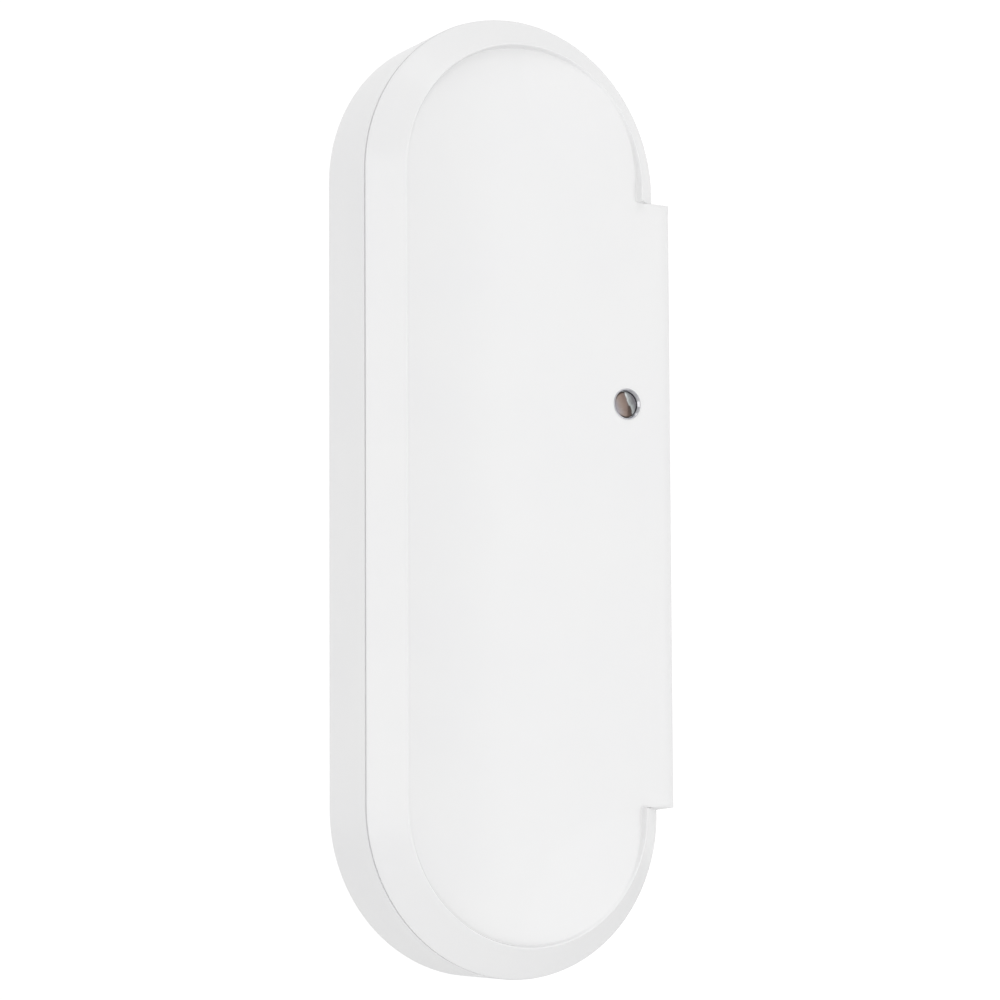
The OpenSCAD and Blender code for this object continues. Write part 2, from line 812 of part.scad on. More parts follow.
module wall_plate() {
    color("gainsboro") difference() {
        union() {
            slab(0, wall_plate_t) stadium(wall_plate_r);
            for (side = [-1, 1]) translate([side * hook_x, 0, 0]) {
                slab(wall_plate_t - snug, cover_front + snug + hook_lip_t)
                    translate([0, hook_z]) square([hook_w, hook_t], center = true);
                slab(cover_front + snug, cover_front + snug + hook_lip_t)
                    translate([0, hook_z + hook_lip / 2]) square([hook_w, hook_t + hook_lip], center = true);
            }
        }
        slab(-overshoot, rim_top) translate(opening_spot) rounded([opening_w, opening_h], opening_corner);
        for (end = [-1, 1]) {
            pillar([0, end * wall_screw_pitch / 2], -overshoot, rim_top, wall_screw_r);
            translate([0, -sink_land, end * wall_screw_pitch / 2]) rotate([90, 0, 0])
                cylinder(h = wall_plate_t - sink_land + running, r1 = wall_screw_r, r2 = sink_r);
        }
        // The latch's channel, with a narrower mouth at the plate's edge
        slab(latch_floor, rim_top) {
            translate([spring_back_x - snug, latch_z - latch_half - slip])
                square([latch_shoulder_x + snug - spring_back_x + snug, 2 * (latch_half + slip)]);
            translate([latch_shoulder_x, latch_z - latch_nose_half - slip])
                square([body_w, 2 * (latch_nose_half + slip)]);
        }
    }
}

module release_latch() {
    color("orangered") slab(latch_low, latch_high) {
        translate([latch_back_x, latch_z - latch_half])
            square([latch_shoulder_x - latch_back_x, 2 * latch_half]);
        translate([latch_shoulder_x - snug, latch_z - latch_nose_half])
            square([latch_nose_x + snug - latch_shoulder_x, 2 * latch_nose_half]);
    }
}

module latch_spring() {
    // A flat zigzag of legs, joined at alternate ends
    leg_pitch = (latch_back_x - spring_back_x - spring_wire) / (spring_legs - 1);
    color("silver") slab(latch_low + snug, latch_high - snug) for (i = [0:spring_legs - 1]) {
        translate([spring_back_x + i * leg_pitch, latch_z - latch_nose_half])
            square([spring_wire, 2 * latch_nose_half]);
        if (i < spring_legs - 1)
            translate([spring_back_x + i * leg_pitch,
                latch_z + (i % 2 == 0 ? latch_nose_half - spring_wire : -latch_nose_half)])
                square([leg_pitch + spring_wire, spring_wire]);
    }
}

casing();
front_cover();
guide_clips();
lens_trim_ring();
lens_window();
dome_mat();
chassis();
tact_switch();
switch_plunger();
lens_barrel();
front_lens();
rear_lens();
lens_holder();
image_sensor();
camera_flex();
flex_connector();
main_board();
board_screws();
processor();
memory_chip();
shield_can();
inductors();
board_connector();
antenna();
backup_capacitor();
microphone();
microphone_boot();
speaker_frame();
speaker_cone();
speaker_magnet();
speaker_mesh();
rear_gasket();
rear_cover();
case_screws();
terminal_block();
terminal_plates();
terminal_screws();
reset_switch();
reset_button();
wall_plate();
release_latch();
latch_spring();
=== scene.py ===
"""Looks of a pill-shaped wall doorbell: finished surfaces, finishes, light and camera.

Lengths inside the builders are millimetres and heights are measured from the wall, outwards.
Every mesh is written in metres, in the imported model's own frame: the front faces -Y and Z is up.
"""

import json
import logging
import math
from dataclasses import dataclass, field
from enum import Enum
from typing import Iterable, Sequence

import bmesh
import bpy
import numpy as np
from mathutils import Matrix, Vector

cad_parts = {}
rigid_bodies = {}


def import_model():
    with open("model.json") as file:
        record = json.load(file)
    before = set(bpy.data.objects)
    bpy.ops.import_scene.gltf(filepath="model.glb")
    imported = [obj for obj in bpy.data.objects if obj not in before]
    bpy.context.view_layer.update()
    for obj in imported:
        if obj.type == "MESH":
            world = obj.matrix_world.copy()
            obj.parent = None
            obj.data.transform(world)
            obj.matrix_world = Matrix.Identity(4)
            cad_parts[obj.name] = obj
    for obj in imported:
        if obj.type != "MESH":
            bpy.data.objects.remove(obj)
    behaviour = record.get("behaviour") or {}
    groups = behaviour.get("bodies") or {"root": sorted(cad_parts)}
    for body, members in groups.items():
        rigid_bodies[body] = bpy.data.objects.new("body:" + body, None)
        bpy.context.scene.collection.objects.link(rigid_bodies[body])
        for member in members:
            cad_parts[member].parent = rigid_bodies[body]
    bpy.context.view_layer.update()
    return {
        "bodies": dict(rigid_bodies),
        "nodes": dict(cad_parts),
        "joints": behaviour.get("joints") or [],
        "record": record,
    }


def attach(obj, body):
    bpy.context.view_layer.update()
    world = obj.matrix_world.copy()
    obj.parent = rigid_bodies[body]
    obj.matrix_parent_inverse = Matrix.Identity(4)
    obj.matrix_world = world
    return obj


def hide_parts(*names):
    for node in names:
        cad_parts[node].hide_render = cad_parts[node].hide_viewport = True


LOG = logging.getLogger("doorbell")
MM = 0.001
Array = np.ndarray
Surface = tuple[Array, Array]
Point = tuple[float, float]
Span = tuple[float, float]
Colour = tuple[float, float, float]
Socket = bpy.types.NodeSocket


class Ends(Enum):
    """How a profile's two ends are finished when it is turned or carried."""

    ON_AXIS = "on_axis"
    JOINED = "joined"


class Grain(Enum):
    """Which way a brushed metal's lines run."""

    ALONG_X = (1.0, 1.0, 14.0)
    ALONG_Z = (14.0, 1.0, 1.0)
    EVEN = (1.0, 1.0, 1.0)


# ---------------------------------------------------------------- surfaces


def smooth_step(t: Array) -> Array:
    """An S-curve: 3 t squared less 2 t cubed, held to 0 and 1 outside that range."""
    t = np.clip(t, 0.0, 1.0)
    return t * t * (3.0 - 2.0 * t)


def rounded_line(points: Sequence[Point], radii: Sequence[float], steps: int = 5,
                 joined: bool = False) -> Array:
    """A line of straight runs whose corners are arcs.

    Each arc touches both runs: its centre lies on the corner's bisector, at the radius over the
    sine of half the corner's angle, and its points are spread evenly over the turn.

    Args:
        points: The sharp corners, in order.
        radii: The arc's radius at each corner; 0 leaves it sharp.
        steps: Spaces in each arc.
        joined: Whether the last corner runs back to the first.

    Returns:
        The points of the rounded line, one row each.
    """
    corners = np.asarray(points, float)
    count = len(corners)
    runs: list[Array] = []
    for i in range(count):
        here = corners[i]
        if radii[i] <= 0 or (not joined and i in (0, count - 1)):
            runs.append(here[None])
            continue
        back = corners[i - 1] - here
        ahead = corners[(i + 1) % count] - here
        back_len, ahead_len = np.linalg.norm(back), np.linalg.norm(ahead)
        back, ahead = back / back_len, ahead / ahead_len
        half = math.acos(float(np.clip(back @ ahead, -1, 1))) / 2
        reach = min(radii[i] / math.tan(half), 0.45 * back_len, 0.45 * ahead_len)
        radius = reach * math.tan(half)
        centre = here + (back + ahead) / np.linalg.norm(back + ahead) * radius / math.sin(half)
        first = here + back * reach - centre
        last = here + ahead * reach - centre
        turn = math.atan2(first[0] * last[1] - first[1] * last[0], float(first @ last))
        a = np.linspace(0, turn, steps + 1)
        runs.append(centre + np.stack([first[0] * np.cos(a) - first[1] * np.sin(a),
                                       first[0] * np.sin(a) + first[1] * np.cos(a)], 1))
    return np.concatenate(runs)


def grid_faces(rows: int, cols: int, wrap_rows: bool, wrap_cols: bool) -> Array:
    """Four-sided faces over a grid of points.

    Face (i, j) joins points (i, j), (i + 1, j), (i + 1, j + 1) and (i, j + 1), where a wrapped
    direction counts on from its last point to its first.

    Args:
        rows: Points in the first direction.
        cols: Points in the second direction.
        wrap_rows: Whether the first direction closes on itself.
        wrap_cols: Whether the second direction closes on itself.

    Returns:
        An array of four point numbers a face.
    """
    i = np.arange(rows if wrap_rows else rows - 1)[:, None]
    j = np.arange(cols if wrap_cols else cols - 1)[None, :]
    i2, j2 = (i + 1) % rows, (j + 1) % cols
    return np.stack([i * cols + j, i2 * cols + j, i2 * cols + j2, i * cols + j2], -1).reshape(-1, 4)


def turned(spot: Point, profile: Array, sides: int = 64,
           ends: Ends = Ends.ON_AXIS) -> Surface:
    """A profile turned about an axis that leaves the wall at a spot.

    Point (i, j) is the profile's point i, at its distance from the axis in direction 2 pi j over
    the number of sides, and at its height in front of the wall.

    Args:
        spot: Where the axis meets the wall, as X and Z.
        profile: Rows of distance from the axis and height.
        sides: Points round the axis.
        ends: Whether the profile starts and ends on the axis, or is a loop.

    Returns:
        The points and the faces.
    """
    a = np.linspace(0, 2 * math.pi, sides, endpoint=False)[None, :]
    r, h = profile[:, :1], profile[:, 1:]
    points = np.stack([spot[0] + r * np.cos(a), -h + 0 * a, spot[1] + r * np.sin(a)], -1)
    return points.reshape(-1, 3), grid_faces(len(profile), sides, ends is Ends.JOINED, True)


def prism(centre: Point, half: Point, corner: float,
          heights: Span, edge: float = 0.12, turn: float = 0.0) -> Surface:
    """A round-cornered rectangle carried from one height to another, with eased edges.

    Each ring is the outline moved inwards by an inset: straight runs between four arcs whose
    centres stand at the half sizes less the corner's radius. The first and last rings are points.

    Args:
        centre: The middle, as X and Z.
        half: Half the width and half the height.
        corner: The corners' radius.
        heights: The lowest and highest height in front of the wall.
        edge: How far the edges are eased.
        turn: Turn about the middle, in radians.

    Returns:
        The points and the faces.
    """
    a = (np.arange(4)[:, None] * math.pi / 2 + np.linspace(0, math.pi / 2, 5)[None, :]).reshape(-1)
    side_x = np.repeat([1.0, -1.0, -1.0, 1.0], 5)
    side_z = np.repeat([1.0, 1.0, -1.0, -1.0], 5)
    bend = np.linspace(0, math.pi / 2, 4)
    inset = edge * (1 - np.sin(bend))
    rise = edge * (1 - np.cos(bend))
    low, high = heights
    insets = np.concatenate([[edge], inset, inset[::-1], [edge]])[:, None]
    levels = np.concatenate([[low], low + rise, high - rise[::-1], [high]])[:, None]
    size = np.ones_like(insets)
    size[0] = size[-1] = 0.0
    r = np.maximum(corner - insets, 0.002)
    x = size * (side_x * (half[0] - insets - r) + r * np.cos(a))
    z = size * (side_z * (half[1] - insets - r) + r * np.sin(a))
    points = np.stack([centre[0] + x * math.cos(turn) - z * math.sin(turn), -levels + 0 * x,
                       centre[1] + x * math.sin(turn) + z * math.cos(turn)], -1)
    return points.reshape(-1, 3), grid_faces(len(levels), len(a), False, True)


def together(parts: Iterable[Surface]) -> Surface:
    """Several surfaces as one list of points and one of faces."""
    points: list[Array] = []
    faces: list[Array] = []
    start = 0
    for p, f in parts:
        points.append(p)
        faces.append(f + start)
        start += len(p)
    return np.concatenate(points), np.concatenate(faces)


# ---------------------------------------------------------------- meshes


def settle(mesh: bpy.types.Mesh, sharp_deg: float = 38.0) -> None:
    """Merges doubles, drops empty faces, turns faces outwards and smooths all but sharp edges.

    Args:
        mesh: The mesh to finish.
        sharp_deg: The angle past which an edge stays sharp.
    """
    bm = bmesh.new()
    bm.from_mesh(mesh)
    bmesh.ops.remove_doubles(bm, verts=bm.verts, dist=2e-6)
    bmesh.ops.dissolve_degenerate(bm, edges=bm.edges, dist=1e-7)
    bmesh.ops.recalc_face_normals(bm, faces=bm.faces)
    bm.to_mesh(mesh)
    bm.free()
    mesh.shade_smooth()
    mesh.set_sharp_from_angle(angle=math.radians(sharp_deg))


def new_mesh(name: str, surface: Surface) -> bpy.types.Mesh:
    """A finished mesh, in metres, from points and faces in millimetres.

    Args:
        name: The mesh's name.
        surface: The points and the faces.

    Returns:
        The mesh.
    """
    points, faces = surface
    mesh = bpy.data.meshes.new(name)
    mesh.from_pydata((points * MM).tolist(), [], faces.tolist())
    settle(mesh)
    return mesh


def new_piece(name: str, mesh: bpy.types.Mesh) -> bpy.types.Object:
    """An object for a mesh, linked into the scene."""
    piece = bpy.data.objects.new(name, mesh)
    bpy.context.scene.collection.objects.link(piece)
    return piece


def cut_away(mesh: bpy.types.Mesh, tools: Surface) -> bpy.types.Mesh:
    """What is left of a mesh outside some closed cutting shapes.

    Args:
        mesh: The closed mesh to cut.
        tools: The cutting shapes, in millimetres.

    Returns:
        A new mesh.
    """
    body = new_piece("cutting_body", mesh)
    tool = new_piece("cutting_tool", new_mesh("cutting_tool", tools))
    step = body.modifiers.new("cut", "BOOLEAN")
    step.operation, step.solver, step.object = "DIFFERENCE", "EXACT", tool
    step.use_self = True
    graph = bpy.context.evaluated_depsgraph_get()
    result = bpy.data.meshes.new_from_object(body.evaluated_get(graph))
    for spent in (body, tool):
        bpy.data.objects.remove(spent)
    return result


def add_surface(mesh: bpy.types.Mesh, surface: Surface) -> None:
    """Adds closed surfaces, in millimetres, to a mesh.

    Args:
        mesh: The mesh that gains them.
        surface: Their points and faces.
    """
    extra = new_mesh("extra", surface)
    bm = bmesh.new()
    bm.from_mesh(mesh)
    bm.from_mesh(extra)
    bm.to_mesh(mesh)
    bm.free()
    bpy.data.meshes.remove(extra)
    mesh.shade_smooth()
    mesh.set_sharp_from_angle(angle=math.radians(38))


# ---------------------------------------------------------------- finishes


class Graph:
    """A node tree with short ways to add and join nodes."""

    def __init__(self, tree: bpy.types.NodeTree) -> None:
        """Takes over a tree and empties it."""
        self.tree = tree
        tree.nodes.clear()

    def add(self, kind: str, values: dict | None = None, **settings: object) -> bpy.types.Node:
        """Adds a node.

        Args:
            kind: The node's type.
            values: Constants, or sockets to join, for its inputs, by name or number.
            settings: Its own settings.

        Returns:
            The node.
        """
        node = self.tree.nodes.new(kind)
        for key, value in settings.items():
            setattr(node, key, value)
        for key, value in (values or {}).items():
            if isinstance(value, Socket):
                self.tree.links.new(value, node.inputs[key])
            else:
                node.inputs[key].default_value = value
        return node

    def math(self, operation: str, a: object, b: object = 0.0, clamp: bool = False) -> Socket:
        """A sum of two values, by the name of its operation."""
        return self.add("ShaderNodeMath", {0: a, 1: b}, operation=operation, use_clamp=clamp).outputs[0]

    def join(self, source: Socket, target: Socket) -> None:
        """Joins one socket to another."""
        self.tree.links.new(source, target)

    def noise(self, place: Socket, scale: object, detail: float, roughness: float = 0.5) -> Socket:
        """Noise at a place."""
        values = {"Vector": place, "Scale": scale, "Detail": detail, "Roughness": roughness}
        return self.add("ShaderNodeTexNoise", values).outputs[0]

    def spread(self, value: Socket, given: Span, wanted: Span = (0.0, 1.0)) -> Socket:
        """A value carried from one range to another."""
        return self.add("ShaderNodeMapRange", {
            "Value": value, "From Min": given[0], "From Max": given[1],
            "To Min": wanted[0], "To Max": wanted[1]}).outputs[0]

    def blend(self, amount: object, first: object, second: object, kind: str = "MIX") -> Socket:
        """Two colours blended by an amount."""
        return self.add("ShaderNodeMix", {0: amount, 6: first, 7: second}, data_type="RGBA",
                        blend_type=kind).outputs[2]


class Effect(Enum):
    """The shared effects, each a node group."""

    GRAIN = "moulded_grain"
    TONE = "uneven_tone"
    DUST = "settled_dust"
    BRUSH = "brushed_lines"


class Effects:
    """Builds each shared effect once and places it in materials."""

    def __init__(self) -> None:
        """Builds every group."""
        self.groups = {Effect.GRAIN: self._grain(), Effect.TONE: self._tone(),
                       Effect.DUST: self._dust(), Effect.BRUSH: self._brush()}

    @staticmethod
    def _group(effect: Effect, inputs: dict[str, str], outputs: dict[str, str]) -> tuple:
        """Starts a group.

        Args:
            effect: Which effect it is.
            inputs: Socket type by input name.
            outputs: Socket type by output name.

        Returns:
            The group, its graph, its input node and its output node.
        """
        group = bpy.data.node_groups.new(effect.value, "ShaderNodeTree")
        for name, kind in inputs.items():
            group.interface.new_socket(name, in_out="INPUT", socket_type=kind)
        for name, kind in outputs.items():
            group.interface.new_socket(name, in_out="OUTPUT", socket_type=kind)
        graph = Graph(group)
        return group, graph, graph.add("NodeGroupInput"), graph.add("NodeGroupOutput")

    def _grain(self) -> bpy.types.NodeTree:
        """Fine moulded texture: two sizes of noise as a height, and the coarser one as a mask."""
        group, graph, given, out = self._group(
            Effect.GRAIN, {"Place": "NodeSocketVector", "Size": "NodeSocketFloat"},
            {"Height": "NodeSocketFloat", "Mask": "NodeSocketFloat"})
        place, size = given.outputs["Place"], given.outputs["Size"]
        fine = graph.noise(place, size, 3.0, 0.6)
        wide = graph.noise(place, graph.math("MULTIPLY", size, 0.02), 4.0)
        high = graph.math("ADD", graph.math("MULTIPLY", fine, 0.8), graph.math("MULTIPLY", wide, 0.2))
        graph.join(high, out.inputs["Height"])
        graph.join(wide, out.inputs["Mask"])
        return group

    def _tone(self) -> bpy.types.NodeTree:
        """Uneven colour: two colours mixed by slow noise."""
        group, graph, given, out = self._group(
            Effect.TONE, {"Place": "NodeSocketVector", "Size": "NodeSocketFloat", "First": "NodeSocketColor",
                          "Second": "NodeSocketColor"}, {"Color": "NodeSocketColor"})
        noise = graph.noise(given.outputs["Place"], given.outputs["Size"], 2.0)
        graph.join(graph.blend(graph.spread(noise, NOISE_SPAN), given.outputs["First"],
                               given.outputs["Second"]), out.inputs["Color"])
        return group

    def _dust(self) -> bpy.types.NodeTree:
        """Thin dust: faces that look up, broken by noise, times an amount."""
        group, graph, given, out = self._group(
            Effect.DUST, {"Place": "NodeSocketVector", "Amount": "NodeSocketFloat"},
            {"Mask": "NodeSocketFloat"})
        faces = graph.add("ShaderNodeNewGeometry")
        up = graph.add("ShaderNodeSeparateXYZ", {0: faces.outputs["Normal"]})
        noise = graph.noise(given.outputs["Place"], 900.0, 5.0)
        lit = graph.math("MULTIPLY", graph.math("MAXIMUM", up.outputs[2], 0.0), noise)
        graph.join(graph.math("MULTIPLY", lit, given.outputs["Amount"], True), out.inputs["Mask"])
        return group

    def _brush(self) -> bpy.types.NodeTree:
        """Brushed or drawn lines: noise stretched along one way, as a height and a mask."""
        group, graph, given, out = self._group(
            Effect.BRUSH, {"Place": "NodeSocketVector", "Stretch": "NodeSocketVector"},
            {"Height": "NodeSocketFloat", "Mask": "NodeSocketFloat"})
        place = graph.add("ShaderNodeVectorMath", {0: given.outputs["Place"], 1: given.outputs["Stretch"]},
                          operation="MULTIPLY")
        lines = graph.noise(place.outputs[0], 700.0, 4.0)
        specks = graph.noise(given.outputs["Place"], 260.0, 6.0)
        graph.join(lines, out.inputs["Height"])
        graph.join(graph.math("MULTIPLY", lines, specks), out.inputs["Mask"])
        return group

    def place(self, graph: Graph, effect: Effect, values: dict) -> bpy.types.Node:
        """Places an effect in a material.

        Args:
            graph: The material's graph.
            effect: Which effect.
            values: Its inputs.

        Returns:
            The group node.
        """
        return graph.add("ShaderNodeGroup", values, node_tree=self.groups[effect])

    def tint(self, graph: Graph, place: Socket, size: float, first: Colour, second: Colour) -> Socket:
        """Two colours in slow, uneven patches, as a socket."""
        return self.place(graph, Effect.TONE, {"Place": place, "Size": size, "First": rgba(first),
                                               "Second": rgba(second)}).outputs[0]

    def wear(self, graph: Graph, place: Socket, size: float, wanted: Span) -> Socket:
        """The moulded grain's mask carried to a range of roughness."""
        grain = self.place(graph, Effect.GRAIN, {"Place": place, "Size": size})
        return graph.spread(grain.outputs["Mask"], (0.0, 1.0), wanted)


NOISE_SPAN = (0.3, 0.7)
DUST_COLOUR = (0.62, 0.6, 0.56)
PURE_WHITE = (1.0, 1.0, 1.0)


def rgba(colour: Colour) -> tuple[float, float, float, float]:
    """A colour with full alpha."""
    return (*colour, 1.0)


def start_material(name: str, **constants: object) -> tuple:
    """Starts a material on object coordinates.

    Args:
        name: The material's name.
        constants: Constants for the shader's own sockets; an underscore stands for a space.

    Returns:
        The material, its graph, its shader and its coordinate socket.
    """
    material = bpy.data.materials.new(name)
    material.use_nodes = True
    graph = Graph(material.node_tree)
    shader = graph.add("ShaderNodeBsdfPrincipled",
                       {key.replace("_", " "): value for key, value in constants.items()})
    out = graph.add("ShaderNodeOutputMaterial")
    graph.join(shader.outputs[0], out.inputs[0])
    place = graph.add("ShaderNodeTexCoord").outputs["Object"]
    return material, graph, shader, place


def add_relief(graph: Graph, shader: bpy.types.Node, height: Socket, depth_mm: float) -> None:
    """Joins a height to a shader's normal.

    Args:
        graph: The material's graph.
        shader: The shader.
        height: The height socket.
        depth_mm: The relief's depth.
    """
    bump = graph.add("ShaderNodeBump", {"Strength": 1.0, "Distance": depth_mm * MM, "Height": height})
    graph.join(bump.outputs[0], shader.inputs["Normal"])


@dataclass(frozen=True)
class Plastic:
    """Moulded plastic, rubber or painted plastic.

    Attributes:
        name: The finish's name.
        colour: Its main colour.
        shade: A second colour that the tone drifts to.
        rough: Its roughness.
        rough_spread: How much the roughness drifts.
        grain_size: Scale of the moulded grain.
        grain_mm: Depth of the grain.
        dust: How much dust settles on it.
        see_in: How far light scatters inside it, in millimetres.
    """

    name: str
    colour: Colour
    shade: Colour
    rough: float
    rough_spread: float = 0.06
    grain_size: float = 9000.0
    grain_mm: float = 0.002
    dust: float = 0.0
    see_in: float = 0.0

    def build(self, effects: Effects) -> bpy.types.Material:
        """Builds the material.

        Args:
            effects: The shared effects.

        Returns:
            The material.
        """
        material, graph, shader, place = start_material(self.name, IOR=1.47)
        if self.see_in:
            shader.inputs["Subsurface Weight"].default_value = 0.15
            shader.inputs["Subsurface Radius"].default_value = (1.0, 0.9, 0.8)
            shader.inputs["Subsurface Scale"].default_value = self.see_in * MM
        tone = effects.tint(graph, place, 60.0, self.colour, self.shade)
        grain = effects.place(graph, Effect.GRAIN, {"Place": place, "Size": self.grain_size})
        dust = effects.place(graph, Effect.DUST, {"Place": place, "Amount": self.dust})
        graph.join(graph.blend(dust.outputs[0], tone, rgba(DUST_COLOUR)), shader.inputs["Base Color"])
        rough = graph.spread(grain.outputs["Mask"], NOISE_SPAN,
                             (self.rough - self.rough_spread, self.rough + self.rough_spread))
        graph.join(graph.math("ADD", rough, dust.outputs[0], True), shader.inputs["Roughness"])
        add_relief(graph, shader, grain.outputs["Height"], self.grain_mm)
        return material


@dataclass(frozen=True)
class Metal:
    """Bare, plated or stamped metal.

    Attributes:
        name: The finish's name.
        colour: Its main colour.
        shade: The colour in its lines and specks.
        rough: Its roughness.
        lines: Which way its lines run.
        depth_mm: Their depth.
    """

    name: str
    colour: Colour
    shade: Colour
    rough: float
    lines: Grain = Grain.EVEN
    depth_mm: float = 0.001

    def build(self, effects: Effects) -> bpy.types.Material:
        """Builds the material.

        Args:
            effects: The shared effects.

        Returns:
            The material.
        """
        material, graph, shader, place = start_material(self.name, Metallic=1.0)
        brush = effects.place(graph, Effect.BRUSH, {"Place": place, "Stretch": self.lines.value})
        worn = graph.spread(brush.outputs["Mask"], (0.15, 0.4))
        graph.join(graph.blend(worn, rgba(self.colour), rgba(self.shade)), shader.inputs["Base Color"])
        rough = graph.spread(brush.outputs["Mask"], (0.1, 0.45), (self.rough * 0.75, self.rough * 1.3))
        graph.join(rough, shader.inputs["Roughness"])
        add_relief(graph, shader, brush.outputs["Height"], self.depth_mm)
        return material


@dataclass(frozen=True)
class CoatedGlass:
    """Clear lens glass whose anti-glare coating tints what it reflects.

    Attributes:
        name: The finish's name.
        colour: The glass's own tint.
        coat: The coating's tint.
    """

    name: str
    colour: Colour
    coat: Colour

    def build(self, effects: Effects) -> bpy.types.Material:
        """Builds the material.

        Args:
            effects: The shared effects.

        Returns:
            The material.
        """
        material, graph, shader, place = start_material(
            self.name, IOR=1.6, Transmission_Weight=1.0, Coat_Weight=1.0, Coat_Roughness=0.02,
            Coat_IOR=1.9, Coat_Tint=rgba(self.coat), Specular_Tint=rgba(self.coat))
        deeper = tuple(0.9 * part for part in self.colour)
        graph.join(effects.tint(graph, place, 700.0, self.colour, deeper), shader.inputs["Base Color"])
        graph.join(effects.wear(graph, place, 4000.0, (0.01, 0.04)), shader.inputs["Roughness"])
        return material


@dataclass(frozen=True)
class PaintedReflectionCoat:
    """A lens whose base colour is painted reflection: bands of colour that run slantwise across it, with a
    bright painted highlight band, under a metallic coat that also reflects the lamps.

    Attributes:
        name: The finish's name.
        spot: The lens's axis, as X and Z in millimetres.
        reach: The lens's radius.
        bands: Places across the lens, from -1 at the left to 1 at the right, and their colours, which are
            painted reflections and a painted highlight.
        slant: How far the bands move left from the middle to the top.
    """

    name: str
    spot: Point
    reach: float
    bands: tuple[tuple[float, Colour], ...]
    slant: float

    def build(self, effects: Effects) -> bpy.types.Material:
        """Builds the material: a ramp of painted reflection colours reads X plus the slant times Z, about
        the lens's axis, shifted cell by cell into painted glints.

        Args:
            effects: The shared effects.

        Returns:
            The material.
        """
        material, graph, shader, place = start_material(
            self.name, IOR=1.6, Metallic=0.9, Coat_Weight=0.6, Coat_Roughness=0.03)
        scale = 1.0 / (self.reach * MM)
        near = graph.add("ShaderNodeMapping", {"Vector": place, "Scale": (scale, scale, scale), "Location": (
            -self.spot[0] / self.reach, 0.0, -self.spot[1] / self.reach)})
        parts = graph.add("ShaderNodeSeparateXYZ", {0: near.outputs[0]})
        across = graph.math("ADD", parts.outputs[0], graph.math("MULTIPLY", parts.outputs[2], self.slant))
        # Cells shift the bands facet by facet, painting glints onto the lens.
        cells = graph.add("ShaderNodeTexVoronoi",
                          {"Vector": near.outputs[0], "Scale": 2.2, "Randomness": 0.9})
        painted_glint_facet = graph.add("ShaderNodeSeparateXYZ", {0: cells.outputs["Color"]})
        broken = graph.math("MULTIPLY", graph.math("SUBTRACT", painted_glint_facet.outputs[0], 0.5), 0.14)
        along = graph.spread(graph.math("ADD", across, broken), (-1.0, 1.0))
        # The ramp's colours are painted reflections with a bright painted highlight band; the metallic coat
        # adds real reflections on top.
        ramp = graph.add("ShaderNodeValToRGB", {0: along})
        steps = ramp.color_ramp.elements
        for at, _ in self.bands[2:]:
            steps.new(0.5 + at / 2)
        for step, (at, colour) in zip(sorted(steps, key=lambda e: e.position), self.bands):
            step.position, step.color = 0.5 + at / 2, rgba(colour)
        tone = effects.tint(graph, place, 1400.0, PURE_WHITE, (0.86, 0.84, 0.85))
        graph.join(graph.blend(1.0, ramp.outputs[0], tone, "MULTIPLY"), shader.inputs["Base Color"])
        graph.join(effects.wear(graph, place, 3000.0, (0.08, 0.2)), shader.inputs["Roughness"])
        return material


@dataclass(frozen=True)
class BoardCoat:
    """A circuit board's coat, with copper tracks that show under it and pads that are bare.

    Attributes:
        name: The finish's name.
        colour: The coat over bare board.
        track: The coat over copper.
        pad: The bare pads.
    """

    name: str
    colour: Colour
    track: Colour
    pad: Colour

    def build(self, effects: Effects) -> bpy.types.Material:
        """Builds the material: tracks are a brick pattern's joints, pads the dots of a cell pattern.

        Args:
            effects: The shared effects.

        Returns:
            The material.
        """
        material, graph, shader, place = start_material(self.name, IOR=1.5)
        flat = graph.add("ShaderNodeMapping", {"Vector": place, "Rotation": (math.pi / 2, 0.0, 0.0)})
        brick = graph.add("ShaderNodeTexBrick", {
            "Vector": flat.outputs[0], "Scale": 420.0, "Mortar Size": 0.06, "Mortar Smooth": 0.2,
            "Brick Width": 0.9, "Row Height": 0.35})
        cells = graph.add("ShaderNodeTexVoronoi",
                          {"Vector": flat.outputs[0], "Scale": 330.0, "Randomness": 0.6})
        dots = graph.math("LESS_THAN", cells.outputs["Distance"], 0.2)
        coat = graph.blend(brick.outputs["Fac"], rgba(self.colour), rgba(self.track))
        graph.join(graph.blend(dots, coat, rgba(self.pad)), shader.inputs["Base Color"])
        graph.join(graph.math("MULTIPLY", dots, 0.9), shader.inputs["Metallic"])
        graph.join(effects.wear(graph, place, 6000.0, (0.25, 0.45)), shader.inputs["Roughness"])
        add_relief(graph, shader, brick.outputs["Fac"], 0.02)
        return material


@dataclass(frozen=True)
class Weave:
    """Fine woven cloth or mesh.

    Attributes:
        name: The finish's name.
        colour: The thread's colour.
        gap: The colour between threads.
        pitch: Threads a metre.
    """

    name: str
    colour: Colour
    gap: Colour
    pitch: float = 900.0

    def build(self, effects: Effects) -> bpy.types.Material:
        """Builds the material: crossed waves give the threads' height and the gaps' colour.

        Args:
            effects: The shared effects.

        Returns:
            The material.
        """
        material, graph, shader, place = start_material(self.name, Roughness=0.8)
        waves = [graph.add("ShaderNodeTexWave", {"Vector": place, "Scale": self.pitch}, bands_direction=way)
                 for way in ("Y", "Z")]
        high = graph.math("MULTIPLY", waves[0].outputs[1], waves[1].outputs[1])
        colour = graph.blend(high, rgba(self.gap), rgba(self.colour))
        tone = effects.tint(graph, place, 90.0, PURE_WHITE, (0.85, 0.85, 0.85))
        graph.join(graph.blend(1.0, colour, tone, "MULTIPLY"), shader.inputs["Base Color"])
        add_relief(graph, shader, high, 0.05)
        return material


